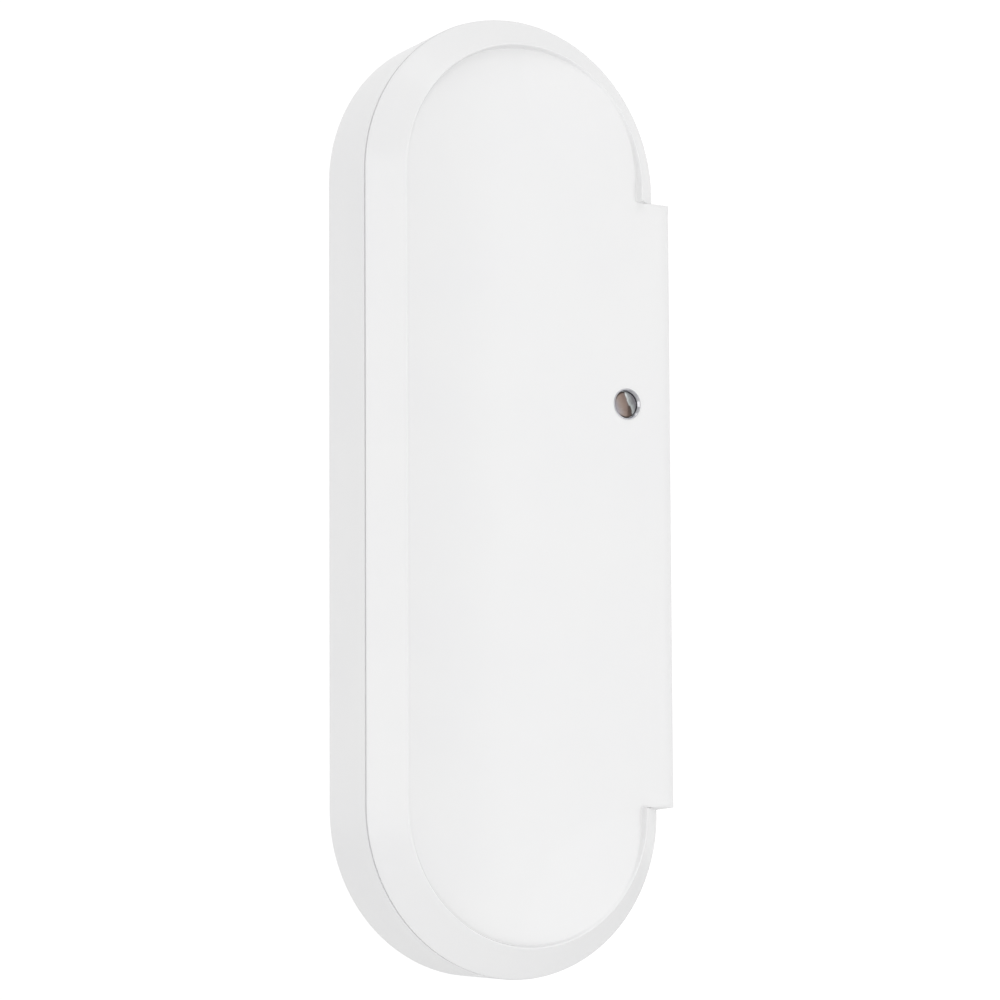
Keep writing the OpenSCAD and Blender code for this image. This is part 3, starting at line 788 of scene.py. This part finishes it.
class Look(Enum):
    """Every finish on the doorbell, by what it is on."""

    WHITE_SHELL = Plastic("white_shell", (0.80, 0.80, 0.80), (0.785, 0.785, 0.79), 0.36, 0.03,
                          7000.0, 0.0015, 0.01)
    WHITE_FRONT = Plastic("white_front", (0.80, 0.80, 0.80), (0.79, 0.79, 0.795), 0.24, 0.02, 7000.0, 0.001,
                          0.01)
    CHROME = Metal("bright_chrome", (0.46, 0.46, 0.48), (0.3, 0.3, 0.32), 0.14)
    SILICONE = Plastic("silicone", (0.20, 0.21, 0.22), (0.17, 0.18, 0.19), 0.62, 0.08, 5000.0, 0.003, 0.1)
    GREY_FRAME = Plastic("grey_frame", (0.33, 0.34, 0.35), (0.28, 0.29, 0.30), 0.5, 0.08, 4000.0, 0.006, 0.1)
    BLACK_PLASTIC = Plastic("black_plastic", (0.03, 0.03, 0.032), (0.02, 0.02, 0.022), 0.45, 0.1,
                            5000.0, 0.005, 0.1)
    PLUNGER = Plastic("plunger_plastic", (0.72, 0.16, 0.05), (0.6, 0.12, 0.04), 0.4)
    LENS_BARREL = Metal("black_metal", (0.11, 0.085, 0.07), (0.05, 0.04, 0.035), 0.36)
    # The window's bands are painted reflections and a painted highlight, set as base colour under a metallic
    # coat.
    PAINTED_REFLECTION_WINDOW = PaintedReflectionCoat("coated_glass", (18.2, 14.4), 1.9, (
        (-1.0, (0.21, 0.20, 0.22)), (-0.72, (0.18, 0.15, 0.14)), (-0.45, (0.155, 0.115, 0.095)),
        (-0.1, (0.12, 0.08, 0.064)), (0.2, (0.1, 0.075, 0.065)), (0.3, (0.56, 0.59, 0.59)),
        (0.5, (0.44, 0.47, 0.47)), (0.8, (0.22, 0.21, 0.23))), 0.45)
    LENS_GLASS = CoatedGlass("clear_glass", (0.93, 0.9, 0.96), (0.8, 0.55, 1.0))
    SENSOR = Metal("sensor_face", (0.12, 0.2, 0.22), (0.2, 0.1, 0.24), 0.2)
    FLEX = Plastic("flex_film", (0.6, 0.3, 0.06), (0.5, 0.24, 0.05), 0.3)
    IVORY = Plastic("ivory_plastic", (0.75, 0.7, 0.58), (0.68, 0.63, 0.5), 0.45)
    BOARD = BoardCoat("circuit_board", (0.01, 0.08, 0.035), (0.02, 0.16, 0.06), (0.75, 0.58, 0.24))
    STEEL = Metal("screw_steel", (0.56, 0.56, 0.57), (0.4, 0.4, 0.42), 0.3, Grain.ALONG_Z)
    CHIP = Plastic("chip_black", (0.035, 0.035, 0.04), (0.05, 0.05, 0.05), 0.55, 0.1, 3000.0, 0.004, 0.1)
    TINNED = Metal("tinned_steel", (0.66, 0.66, 0.64), (0.5, 0.5, 0.5), 0.26, Grain.ALONG_X)
    FERRITE = Plastic("ferrite", (0.09, 0.09, 0.095), (0.13, 0.13, 0.13), 0.7, 0.1, 2500.0, 0.01)
    ANTENNA = Plastic("antenna_film", (0.66, 0.42, 0.1), (0.56, 0.34, 0.08), 0.35)
    SLEEVE = Plastic("capacitor_sleeve", (0.08, 0.2, 0.42), (0.06, 0.16, 0.36), 0.3)
    GOLD = Metal("gold_lid", (0.83, 0.64, 0.28), (0.7, 0.5, 0.2), 0.25)
    PAPER = Plastic("speaker_paper", (0.16, 0.15, 0.14), (0.22, 0.2, 0.18), 0.85, 0.05, 1800.0, 0.02)
    CLOTH = Weave("speaker_cloth", (0.07, 0.07, 0.075), (0.01, 0.01, 0.01))
    GASKET = Plastic("gasket_rubber", (0.06, 0.06, 0.062), (0.09, 0.09, 0.09), 0.75, 0.08, 4000.0, 0.006)
    BACK_PLASTIC = Plastic("back_plastic", (0.70, 0.70, 0.69), (0.66, 0.66, 0.65), 0.52, 0.08,
                           5000.0, 0.006, 0.05)
    BRASS = Metal("terminal_brass", (0.72, 0.52, 0.22), (0.5, 0.34, 0.14), 0.3)
    PLATE_PLASTIC = Plastic("plate_plastic", (0.62, 0.62, 0.61), (0.57, 0.57, 0.56), 0.55, 0.08,
                            4000.0, 0.008, 0.05)
    LATCH = Plastic("latch_plastic", (0.72, 0.22, 0.04), (0.62, 0.18, 0.03), 0.42)
    SPRING = Metal("spring_steel", (0.6, 0.6, 0.61), (0.42, 0.42, 0.44), 0.24)
    FLOOR = Plastic("studio_floor", (0.88, 0.88, 0.88), (0.87, 0.87, 0.87), 0.6)


CARRIED = {
    "guide_clips": Look.SPRING, "dome_mat": Look.SILICONE, "chassis": Look.GREY_FRAME,
    "tact_switch": Look.BLACK_PLASTIC, "switch_plunger": Look.PLUNGER, "lens_holder": Look.BLACK_PLASTIC,
    "image_sensor": Look.SENSOR, "camera_flex": Look.FLEX, "flex_connector": Look.IVORY,
    "main_board": Look.BOARD, "board_screws": Look.STEEL, "processor": Look.CHIP, "memory_chip": Look.CHIP,
    "shield_can": Look.TINNED, "inductors": Look.FERRITE, "board_connector": Look.IVORY,
    "antenna": Look.ANTENNA, "backup_capacitor": Look.SLEEVE, "microphone": Look.GOLD,
    "microphone_boot": Look.SILICONE, "speaker_frame": Look.BLACK_PLASTIC, "speaker_cone": Look.PAPER,
    "speaker_magnet": Look.STEEL, "speaker_mesh": Look.CLOTH, "rear_gasket": Look.GASKET,
    "reset_switch": Look.BLACK_PLASTIC, "latch_spring": Look.SPRING,
}


class Wardrobe:
    """Builds each finish the first time that it is asked for."""

    def __init__(self) -> None:
        """Builds the shared effects."""
        self.effects = Effects()
        self.made: dict[Look, bpy.types.Material] = {}

    def dress(self, piece: bpy.types.Object, look: Look) -> None:
        """Puts a finish on a piece.

        Args:
            piece: The piece.
            look: The finish.
        """
        if look not in self.made:
            self.made[look] = look.value.build(self.effects)
        piece.data.materials.clear()
        piece.data.materials.append(self.made[look])


class Frame:
    """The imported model: its nodes, and the body that each rides on."""

    def __init__(self, loaded: dict) -> None:
        """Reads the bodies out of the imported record."""
        self.nodes = loaded["nodes"]
        self.body_of = {node: body for body, names in loaded["record"]["behaviour"]["bodies"].items()
                        for node in names}

    def stand_in(self, piece: bpy.types.Object, node: str, look: Look, wardrobe: Wardrobe) -> None:
        """Shows a piece in place of a node.

        Args:
            piece: The new piece.
            node: The node that it stands for.
            look: Its finish.
            wardrobe: Where finishes are made.
        """
        wardrobe.dress(piece, look)
        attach(piece, self.body_of[node])
        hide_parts(node)
        LOG.info("%s stands for %s, with %d faces", piece.name, node, len(piece.data.polygons))


# ---------------------------------------------------------------- sub-assemblies


@dataclass
class Pill:
    """The outline that everything follows: a straight spine with a half circle at each end.

    Attributes:
        spine: The spine's length.
        run: Heights along the straight sides, where sections stand.
        end_steps: Spaces round each end.
    """

    spine: float
    run: Array
    end_steps: int = 112

    def stations(self) -> tuple[Array, Array]:
        """Where sections stand: up the right side, round the top, down the left, round the foot.

        Returns:
            Each station's height on the spine, and the direction in which it faces.
        """
        arc = np.linspace(0, math.pi, self.end_steps + 1)[1:-1]
        half = self.spine / 2
        along = np.concatenate([self.run, np.full(len(arc), half), self.run[::-1], np.full(len(arc), -half)])
        way = np.concatenate([0 * self.run, arc, 0 * self.run + math.pi, arc + math.pi])
        return along, way

    def carry(self, r: Array, h: Array, ends: Ends) -> Surface:
        """Carries a section round the pill.

        Point (s, k) stands at distance r[s, k] from the spine in station s's direction, and at
        height h[s, k] in front of the wall.

        Args:
            r: Distances, a row for each station.
            h: Heights, a row for each station.
            ends: Whether the section starts and ends on the spine, or is a loop.

        Returns:
            The points and the faces.
        """
        along, way = self.stations()
        points = np.stack([r * np.cos(way)[:, None], -h, along[:, None] + r * np.sin(way)[:, None]], -1)
        return points.reshape(-1, 3), grid_faces(r.shape[0], r.shape[1], True, ends is Ends.JOINED)


@dataclass
class FrontCover:
    """The cover that is the bell push: bevel, dish, wing, and what stands behind its skin."""

    width: float = 50.0
    height: float = 143.5
    top: float = 17.5
    rim_w: float = 4.4
    rim_d: float = 4.6
    foot_in: float = 1.6
    dish: float = 1.2
    flat_x: float = -1.0
    skin: float = 1.4
    wing_ends: Span = (-46.1, 45.3)
    wing_proud: float = 0.9
    wing_ease: float = 0.14
    camera: Point = (18.2, 14.4)
    hole_r: float = 2.35
    pad_h: float = 13.5
    pin_tip: float = 7.7
    pin_r: float = 1.0
    pin_boss_r: float = 3.0
    pin_spot: Point = (15.0, 3.25)
    pad_r: float = 2.4
    pad_spot: Point = (9.0, 32.0)
    pusher_r: float = 3.5
    pusher_spot: Point = (0.0, -12.0)
    collar_t: float = 1.2
    rib: float = 0.6
    lip: float = 0.55
    step: float = 0.14
    foot_run: float = 0.8

    def __post_init__(self) -> None:
        """Works out the radii and heights that follow from the main sizes."""
        self.spine = self.height - self.width
        self.outer = self.width / 2
        self.rim = self.outer - self.rim_w
        self.foot = self.top - self.rim_d
        self.floor = self.top - self.dish
        self.under = self.floor - self.skin

    def floor_height(self, x: Array, z: Array) -> Array:
        """The dish's floor.

        Left of the flat it rises on a wide arc: the arc's radius less the root of the radius
        squared less the run squared. At the right-hand ends it rises on two cones. The higher of
        the two is taken, with a soft change from one to the other.

        Args:
            x: Distances to the right of the middle.
            z: Heights above the middle.

        Returns:
            Heights in front of the wall.
        """
        reach = self.flat_x + self.rim
        radius = (reach ** 2 + self.dish ** 2) / (2 * self.dish)
        run = np.clip(self.flat_x - x, 0.0, reach)
        arc = radius - np.sqrt(radius ** 2 - run ** 2)
        away = np.hypot(x - self.rim, np.abs(z) - (self.spine / 2 + self.rim))
        tip = self.rim * (math.sqrt(2) - 1)
        cone = self.dish * np.clip((self.rim - away) / (self.rim - tip), 0.0, 1.0)
        soft = 0.08
        rise = (arc + cone + np.sqrt((arc - cone) ** 2 + soft ** 2) - soft) / 2
        return self.floor + np.clip(rise, 0.0, self.dish)

    def shell(self) -> Surface:
        """The cover's skin, as one closed section carried round the pill.

        Each section runs out along the dish, up a short S-curve to the rim, over a small arc, down
        the bevel, round its foot and back under the skin. Beside the wing a second section leaves
        the dish level, turns down the wing's side and meets the first at the same foot. Over a
        fraction of a millimetre the sections change from one to the other on an S-curve.

        Returns:
            The points and the faces.
        """
        low, high = self.wing_ends
        change = self.wing_ease * np.linspace(-1, 1, 13)
        run = np.unique(np.concatenate([np.linspace(low + 0.8, high - 0.8, 70), low + change, high + change,
                                        [-self.spine / 2, self.spine / 2, high + 0.7, low - 0.35]]).round(6))
        pill = Pill(self.spine, run)
        along, way = pill.stations()
        count = len(along)
        inside, brink = self.rim - self.lip, self.rim - self.step
        flat_r = np.linspace(0, inside, 44)
        step_r = np.linspace(inside, brink, 9)[1:]
        face_r = np.concatenate([flat_r, step_r])
        x = face_r[None, :] * np.cos(way)[:, None]
        z = along[:, None] + face_r[None, :] * np.sin(way)[:, None]
        dish = self.floor_height(x, z)
        lift = smooth_step((face_r - inside) / (self.lip - self.step))[None, :]
        within = np.minimum(high - along, along - low)
        beside = smooth_step((within + self.wing_ease) / (2 * self.wing_ease))
        beside = np.where(way == 0.0, beside, 0.0)[:, None]
        face_h = dish + (self.top - dish) * lift * (1 - beside)

        turn_r = self.outer - self.foot_run
        slope = self.rim_d / self.rim_w
        meet = self.rim + (self.top - self.floor) / slope
        crest = rounded_line([(brink, self.top), (self.rim, self.top), (meet, self.floor)],
                             [0, 0.3, 0], 7)[1:]
        bevel = rounded_line([(meet, self.floor), (self.outer, self.foot), (turn_r, self.foot)],
                             [0, 0.07, 0], 4)[1:-1]
        down = np.linspace(crest[-1], bevel[0], 9)[1:-1]
        ridge = np.concatenate([crest, down, bevel])
        wing_x = self.outer + self.wing_proud
        wing = rounded_line([(meet, self.floor), (wing_x, self.floor), (wing_x, self.foot),
                             (turn_r, self.foot)], [0, 0.22, 0.1, 0], 4)[1:-1]
        level = np.stack([crest[:, 0], np.full(len(crest), self.floor)], 1)
        spare = len(down) + len(bevel) - len(wing)
        lead = np.linspace(crest[-1], wing[0], spare + 2)[1:-1]
        side = np.concatenate([level, lead, wing])
        outer = (1 - beside[:, :, None]) * ridge[None] + beside[:, :, None] * side[None]

        foot_r = self.outer - self.foot_in
        hollow_r = foot_r - (self.under - self.foot) / slope
        back = rounded_line([(turn_r, self.foot), (foot_r, self.foot), (hollow_r, self.under),
                             (0, self.under)], [0, 0.1, 0.4, 0], 4)
        inner = np.concatenate([back[:-1], np.linspace(back[-2], back[-1], 7)[1:]])
        inner = np.broadcast_to(inner, (count, *inner.shape))
        r = np.concatenate([np.broadcast_to(face_r, (count, len(face_r))), outer[..., 0], inner[..., 0]], 1)
        h = np.concatenate([face_h, outer[..., 1], inner[..., 1]], 1)
        return pill.carry(r, h, Ends.ON_AXIS)

    def bosses(self) -> list[Surface]:
        """Guide pins on their bosses, pads over the domes, the pusher, the collar and the ribs.

        Returns:
            One closed surface for each.
        """
        top = self.under + 0.05
        pin = rounded_line([
            (0, top), (self.pin_boss_r, top), (self.pin_boss_r, self.pad_h), (self.pin_r, self.pad_h),
            (self.pin_r, self.pin_tip), (0, self.pin_tip)], [0, 0, 0.15, 0.25, 0.2, 0], 4)
        pad, pusher = (rounded_line([(0, top), (r, top), (r, self.pad_h), (0, self.pad_h)],
                                    [0, 0, 0.15, 0], 4) for r in (self.pad_r, self.pusher_r))
        collar_r = self.hole_r + self.collar_t
        collar = rounded_line([(self.hole_r, top), (collar_r, top), (collar_r, self.pad_h),
                               (self.hole_r, self.pad_h)], [0, 0, 0.1, 0.1], 3, True)
        corners = [(sx, sz) for sx in (-1, 1) for sz in (-1, 1)]
        pin_x, pin_z = self.pin_spot[0], self.spine / 2 + self.pin_spot[1]
        made = [turned((sx * pin_x, sz * pin_z), pin) for sx, sz in corners]
        made += [turned((sx * self.pad_spot[0], sz * self.pad_spot[1]), pad, 48) for sx, sz in corners]
        made.append(turned(self.pusher_spot, pusher, 48))
        made.append(turned(self.camera, collar, 64, Ends.JOINED))
        reach = (self.height - self.width / 2) / 2
        made.append(prism((0, 0), (self.rib, reach), 0.1, (self.pad_h, top)))
        hollow_r = self.outer - self.foot_in - (self.under - self.foot) * self.rim_w / self.rim_d
        made += [prism((0, k * self.spine / 4), (hollow_r - 2 * self.rib, self.rib), 0.1, (self.pad_h, top))
                 for k in (-1, 0, 1)]
        return made

    def build(self, frame: Frame, wardrobe: Wardrobe) -> None:
        """Builds and dresses the cover.

        Args:
            frame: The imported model.
            wardrobe: Where finishes are made.
        """
        hole = turned(self.camera, rounded_line([(0, 12), (self.hole_r, 12), (self.hole_r, 19), (0, 19)],
                                                [0, 0, 0, 0]), 96)
        mesh = cut_away(new_mesh("front_cover_shell", self.shell()), hole)
        add_surface(mesh, together(self.bosses()))
        piece = new_piece("front_cover_shell", mesh)
        frame.stand_in(piece, "front_cover", Look.WHITE_FRONT, wardrobe)


@dataclass
class Casing:
    """The side wall, with its sound slots, its two pin-sized holes and its screw posts."""

    width: float = 50.0
    height: float = 143.5
    draft: float = 0.8
    back: float = 0.4
    top: float = 12.65
    upstand_r: float = 22.7
    cavity_r: float = 21.9
    skirt_r: float = 22.8
    ledge: float = 5.0
    slot_w: float = 1.2
    slot_count: int = 7
    slot_top: float = -40.0
    slot_heights: Span = (5.8, 8.2)
    microphone: Point = (-25.0, 7.95)
    latch_pin: Point = (-40.0, 1.55)
    bevel_foot: float = 12.9
    bevel_in: float = 0.7
    bevel_slope: float = 4.6 / 4.4
    gap: float = 0.4
    pin_hole_r: float = 0.6
    post_in: float = 2.5
    post_r: float = 2.9
    post_bore_r: float = 0.85
    post_bore_top: float = 11.9
    post_heights: Span = (10.0, 12.7)
    post_turns: Span = (60.0, 120.0)
    side_post_z: float = -8.0
    web_out: float = 1.75
    web_aside: float = 2.0
    web_half: Point = (1.35, 0.88)
    web_sunk: float = 0.02

    def __post_init__(self) -> None:
        """Works out the spine, the outer radius and the upstand's height."""
        self.spine = self.height - self.width
        self.outer = self.width / 2
        self.upstand = self.bevel_foot + self.bevel_in * self.bevel_slope - self.gap

    def wall(self) -> Surface:
        """The side wall: one closed section with eased corners, carried round the pill."""
        section = rounded_line([
            (self.outer - self.draft, self.back), (self.outer, self.top), (self.upstand_r, self.top),
            (self.upstand_r, self.upstand), (self.cavity_r, self.upstand), (self.cavity_r, self.ledge),
            (self.skirt_r, self.ledge), (self.skirt_r, self.back)],
            [0.3, 0.1, 0.1, 0.1, 0.1, 0.05, 0.05, 0.1], 4, True)
        foot = 5
        side = np.linspace(section[foot - 1], section[foot], 14)[1:-1]
        section = np.concatenate([section[:foot], side, section[foot:]])
        pill = Pill(self.spine, np.linspace(-self.spine / 2, self.spine / 2, 95))
        count = len(pill.stations()[0])
        r = np.broadcast_to(section[:, 0], (count, len(section)))
        h = np.broadcast_to(section[:, 1], (count, len(section)))
        return pill.carry(r, h, Ends.JOINED)

    def side_hole(self, z: float, h: float, r: float) -> Surface:
        """A round cutter that runs out through the right side at a height.

        Args:
            z: How far above the middle.
            h: How far in front of the wall.
            r: Its radius.

        Returns:
            The points and the faces.
        """
        points, faces = turned((0, 0), rounded_line([(0, -4), (r, -4), (r, 4), (0, 4)], [0] * 4), 40)
        return np.stack([self.outer - points[:, 1], points[:, 0] - h, points[:, 2] + z], 1), faces

    def cutters(self) -> list[Surface]:
        """Sound slots, the microphone's hole and the latch's pin hole."""
        half = self.slot_w / 2
        low, high = self.slot_heights
        slots = [prism((self.outer + 1, self.slot_top - 2 * k * self.slot_w - half), (7, half), 0.02,
                       (low, high), 0.25) for k in range(self.slot_count)]
        pocket = prism((22.75, -40), (0.95, 2.3), 0.1, (0.8, 2.3), 0.05)
        holes = [self.side_hole(*at, self.pin_hole_r) for at in (self.microphone, self.latch_pin)]
        return [*slots, pocket, *holes]

    def posts(self) -> list[Surface]:
        """Screw posts, each a turned pillar with a bore, and the web that ties it to the wall."""
        ring, (low, high) = self.cavity_r - self.post_in, self.post_heights
        line = rounded_line([
            (0, high), (self.post_r, high), (self.post_r, low), (self.post_bore_r, low),
            (self.post_bore_r, self.post_bore_top), (0, self.post_bore_top)], [0, 0.2, 0.1, 0.1, 0.05, 0], 4)
        made: list[Surface] = []
        for end in (-1, 1):
            for a in np.radians(self.post_turns):
                spot = (ring * math.cos(a), end * (self.spine / 2 + ring * math.sin(a)))
                made += self.post(spot, end * a, line)
        for side in (0, 1):
            made += self.post((ring * (1 - 2 * side), self.side_post_z), math.pi * side, line)
        return made

    def post(self, spot: Point, turn: float, line: Array) -> list[Surface]:
        """One screw post.

        Args:
            spot: Its axis, as X and Z.
            turn: The way to the wall.
            line: The pillar's profile.

        Returns:
            The pillar and its two webs.
        """
        made = [turned(spot, line, 40)]
        heights = (self.post_heights[0] + self.web_sunk, self.post_heights[1] - self.web_sunk)
        for aside in (-self.web_aside, self.web_aside):
            centre = (spot[0] + self.web_out * math.cos(turn) - aside * math.sin(turn),
                      spot[1] + self.web_out * math.sin(turn) + aside * math.cos(turn))
            made.append(prism(centre, self.web_half, 0.1, heights, 0.1, turn))
        return made

    def build(self, frame: Frame, wardrobe: Wardrobe) -> None:
        """Builds and dresses the casing.

        Args:
            frame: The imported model.
            wardrobe: Where finishes are made.
        """
        mesh = cut_away(new_mesh("casing_shell", self.wall()), together(self.cutters()))
        add_surface(mesh, together(self.posts()))
        piece = new_piece("casing_shell", mesh)
        frame.stand_in(piece, "casing", Look.WHITE_SHELL, wardrobe)


@dataclass
class CameraEye:
    """What is seen in the camera's opening: the trim ring, the barrel and its two lenses."""

    spot: Point = (18.2, 14.4)
    hole_r: float = 2.35
    face: float = 16.4
    seat: float = 14.1

    def ring(self) -> Surface:
        """The trim ring: a closed section, flat in front, whose mouth narrows on a cone."""
        return turned(self.spot, rounded_line([
            (self.hole_r - 0.4, self.seat), (self.hole_r, self.seat), (self.hole_r, self.face),
            (self.hole_r - 0.15, self.face), (self.hole_r - 0.4, self.face - 0.3)],
            [0.03, 0.03, 0.06, 0.03, 0.06], 4, True), 128, Ends.JOINED)

    def barrel(self) -> Surface:
        """The lens barrel: a stepped tube whose nose is ribbed inside."""
        return turned(self.spot, rounded_line([
            (1.9, 7.9), (2.8, 7.9), (2.8, 12.7), (1.78, 13.1), (1.78, 15.1), (1.6, 15.1), (1.6, 11.1),
            (1.9, 11.1)], [0.1, 0.1, 0.15, 0.1, 0.05, 0.05, 0.05, 0.05], 4, True), 128, Ends.JOINED)

    def lens(self, r: float, back: float, edge: float, sag: float) -> Surface:
        """A lens: flat behind, and in front a ball's cap, whose height falls with distance squared.

        Args:
            r: Its radius.
            back: The height of its back.
            edge: Its thickness at the edge.
            sag: How far the cap stands above the edge.

        Returns:
            The points and the faces.
        """
        ball = (r * r + sag * sag) / (2 * sag)
        d = np.linspace(0, r - 0.03, 24)
        cap = np.stack([d, back + edge + sag - ball + np.sqrt(ball ** 2 - d ** 2)], 1)
        rim = rounded_line([tuple(cap[-1]), (r, back + edge - 0.02), (r, back), (0, back)],
                           [0, 0.02, 0.05, 0], 3)
        return turned(self.spot, np.concatenate([cap, rim[1:]]), 96)

    def build(self, frame: Frame, wardrobe: Wardrobe) -> None:
        """Builds and dresses the eye.

        Args:
            frame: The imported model.
            wardrobe: Where finishes are made.
        """
        for node, surface, look in (
                ("lens_trim_ring", self.ring(), Look.CHROME),
                ("lens_barrel", self.barrel(), Look.LENS_BARREL),
                # The window's base colour is painted reflection.
                ("lens_window", self.lens(1.9, 15.5, 0.4, 0.2), Look.PAINTED_REFLECTION_WINDOW),
                ("front_lens", self.lens(1.6, 14.0, 0.6, 0.4), Look.LENS_GLASS),
                ("rear_lens", self.lens(1.9, 9.3, 1.3, 0.5), Look.LENS_GLASS)):
            piece = new_piece(node + "_turned", new_mesh(node + "_turned", surface))
            frame.stand_in(piece, node, look, wardrobe)


@dataclass
class BackFittings:
    """What shows at the back: each CAD solid as a merged copy whose edges are eased."""

    eased: dict[str, tuple[Look, float]] = field(default_factory=lambda: {
        "wall_plate": (Look.PLATE_PLASTIC, 0.18), "rear_cover": (Look.BACK_PLASTIC, 0.15),
        "release_latch": (Look.LATCH, 0.12), "terminal_block": (Look.BLACK_PLASTIC, 0.12),
        "terminal_plates": (Look.BRASS, 0.06), "terminal_screws": (Look.BRASS, 0.1),
        "case_screws": (Look.STEEL, 0.1), "reset_button": (Look.PLUNGER, 0.12)})

    def build(self, frame: Frame, wardrobe: Wardrobe) -> None:
        """Builds and dresses the fittings.

        Args:
            frame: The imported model.
            wardrobe: Where finishes are made.
        """
        for node, (look, width) in self.eased.items():
            mesh = frame.nodes[node].data.copy()
            bm = bmesh.new()
            bm.from_mesh(mesh)
            bmesh.ops.remove_doubles(bm, verts=bm.verts, dist=1e-6)
            bmesh.ops.dissolve_limit(bm, angle_limit=math.radians(1), verts=bm.verts, edges=bm.edges)
            bm.to_mesh(mesh)
            bm.free()
            mesh.shade_smooth()
            piece = new_piece(node + "_eased", mesh)
            ease = piece.modifiers.new("eased_edges", "BEVEL")
            ease.width, ease.segments = width * MM, 3
            ease.limit_method, ease.angle_limit = "ANGLE", math.radians(40)
            weight = piece.modifiers.new("flat_faces", "WEIGHTED_NORMAL")
            weight.keep_sharp = True
            frame.stand_in(piece, node, look, wardrobe)


def dress_carried(frame: Frame, wardrobe: Wardrobe) -> None:
    """Puts a finish on every CAD node that is shown as it is.

    Args:
        frame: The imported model.
        wardrobe: Where finishes are made.
    """
    for node, look in CARRIED.items():
        wardrobe.dress(frame.nodes[node], look)
        LOG.info("%s keeps its CAD shape", node)


# ---------------------------------------------------------------- studio


@dataclass
class Studio:
    """The camera, a pale floor and soft light."""

    turn_deg: float = 31.1
    rise_deg: float = -6.65
    roll: float = -0.005
    lens: float = 180.0
    distance: float = 0.739
    aim: tuple[float, float, float] = (0.0, -0.0175, 0.0)
    aside: tuple[float, float] = (0.00414, 0.00118)
    floor_z: float = -0.42

    def camera(self) -> None:
        """Places the camera: back from the aim along its line of sight, looking a little aside."""
        turn, rise = math.radians(self.turn_deg), math.radians(self.rise_deg)
        back = Vector((-math.sin(turn) * math.cos(rise), -math.cos(turn) * math.cos(rise), math.sin(rise)))
        right = (-back).cross(Vector((0, 0, 1))).normalized()
        up = right.cross(-back)
        aim = Vector(self.aim)
        data = bpy.data.cameras.new("camera")
        data.lens, data.sensor_width = self.lens, 36.0
        data.clip_start, data.clip_end = 0.01, 50.0
        camera = bpy.data.objects.new("camera", data)
        bpy.context.scene.collection.objects.link(camera)
        camera.location = aim + back * self.distance
        look = aim - right * self.aside[0] - up * self.aside[1] - camera.location
        quaternion = look.to_track_quat("-Z", "Y")
        camera.rotation_euler = quaternion.to_euler()
        camera.rotation_euler.rotate_axis("Z", self.roll)
        bpy.context.scene.camera = camera

    def softbox(self, name: str, place: tuple[float, float, float], size: tuple[float, float],
                watts: float) -> None:
        """A soft light that faces the doorbell.

        Args:
            name: Its name.
            place: Where it stands.
            size: Its width and height.
            watts: Its power.
        """
        data = bpy.data.lights.new(name, "AREA")
        data.shape, data.size, data.size_y, data.energy = "RECTANGLE", *size, watts
        lamp = bpy.data.objects.new(name, data)
        bpy.context.scene.collection.objects.link(lamp)
        lamp.location = place
        lamp.rotation_euler = (-Vector(place)).to_track_quat("-Z", "Y").to_euler()

    def build(self, wardrobe: Wardrobe) -> None:
        """Builds the studio.

        Args:
            wardrobe: Where finishes are made.
        """
        self.camera()
        world = bpy.data.worlds.new("studio")
        bpy.context.scene.world = world
        world.use_nodes = True
        graph = Graph(world.node_tree)
        seen = graph.add("ShaderNodeLightPath").outputs["Is Camera Ray"]
        way = graph.add("ShaderNodeSeparateXYZ", {0: graph.add("ShaderNodeTexCoord").outputs["Generated"]})
        front = graph.add("ShaderNodeMapRange", {"Value": way.outputs[1], "From Min": 1.0, "From Max": -1.0,
                                                 "To Min": 1.04, "To Max": 0.66})
        amount = graph.add("ShaderNodeMix", {0: seen, 2: front.outputs[0], 3: 1.06}, data_type="FLOAT")
        sky = graph.add("ShaderNodeBackground",
                        {"Color": rgba(PURE_WHITE), "Strength": amount.outputs[0]})
        out = graph.add("ShaderNodeOutputWorld")
        graph.join(sky.outputs[0], out.inputs[0])
        self.softbox("front_right_box", (0.60, -1.50, 0.0), (0.78, 1.6), 5.0)
        self.softbox("left_box", (-1.6, -0.7, 0.0), (0.9, 1.2), 3.85)
        self.softbox("low_box", (-0.2, -0.5, -0.38), (0.8, 0.5), 0.62)
        self.softbox("top_box", (0.0, -0.6, 1.2), (1.2, 0.8), 2.9)
        a = np.linspace(0, 2 * math.pi, 96, endpoint=False)[None, :]
        r = np.array([0.0, 0.5, 1.5, 3.0, 6.0])[:, None]
        points = np.stack([r * np.cos(a), r * np.sin(a), self.floor_z + 0 * r * a], -1).reshape(-1, 3) / MM
        mesh = new_mesh("studio_floor", (points, grid_faces(5, 96, False, True)))
        piece = new_piece("studio_floor", mesh)
        wardrobe.dress(piece, Look.FLOOR)
        bpy.context.scene.view_settings.view_transform = "Standard"


def main() -> None:
    """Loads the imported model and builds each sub-assembly in order."""
    logging.basicConfig(level=logging.INFO, format="%(name)s: %(message)s")
    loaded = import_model()
    frame = Frame(loaded)
    wardrobe = Wardrobe()
    for part in (Casing(), FrontCover(), CameraEye(), BackFittings()):
        part.build(frame, wardrobe)
    dress_carried(frame, wardrobe)
    Studio().build(wardrobe)


if __name__ == "__main__":
    main()
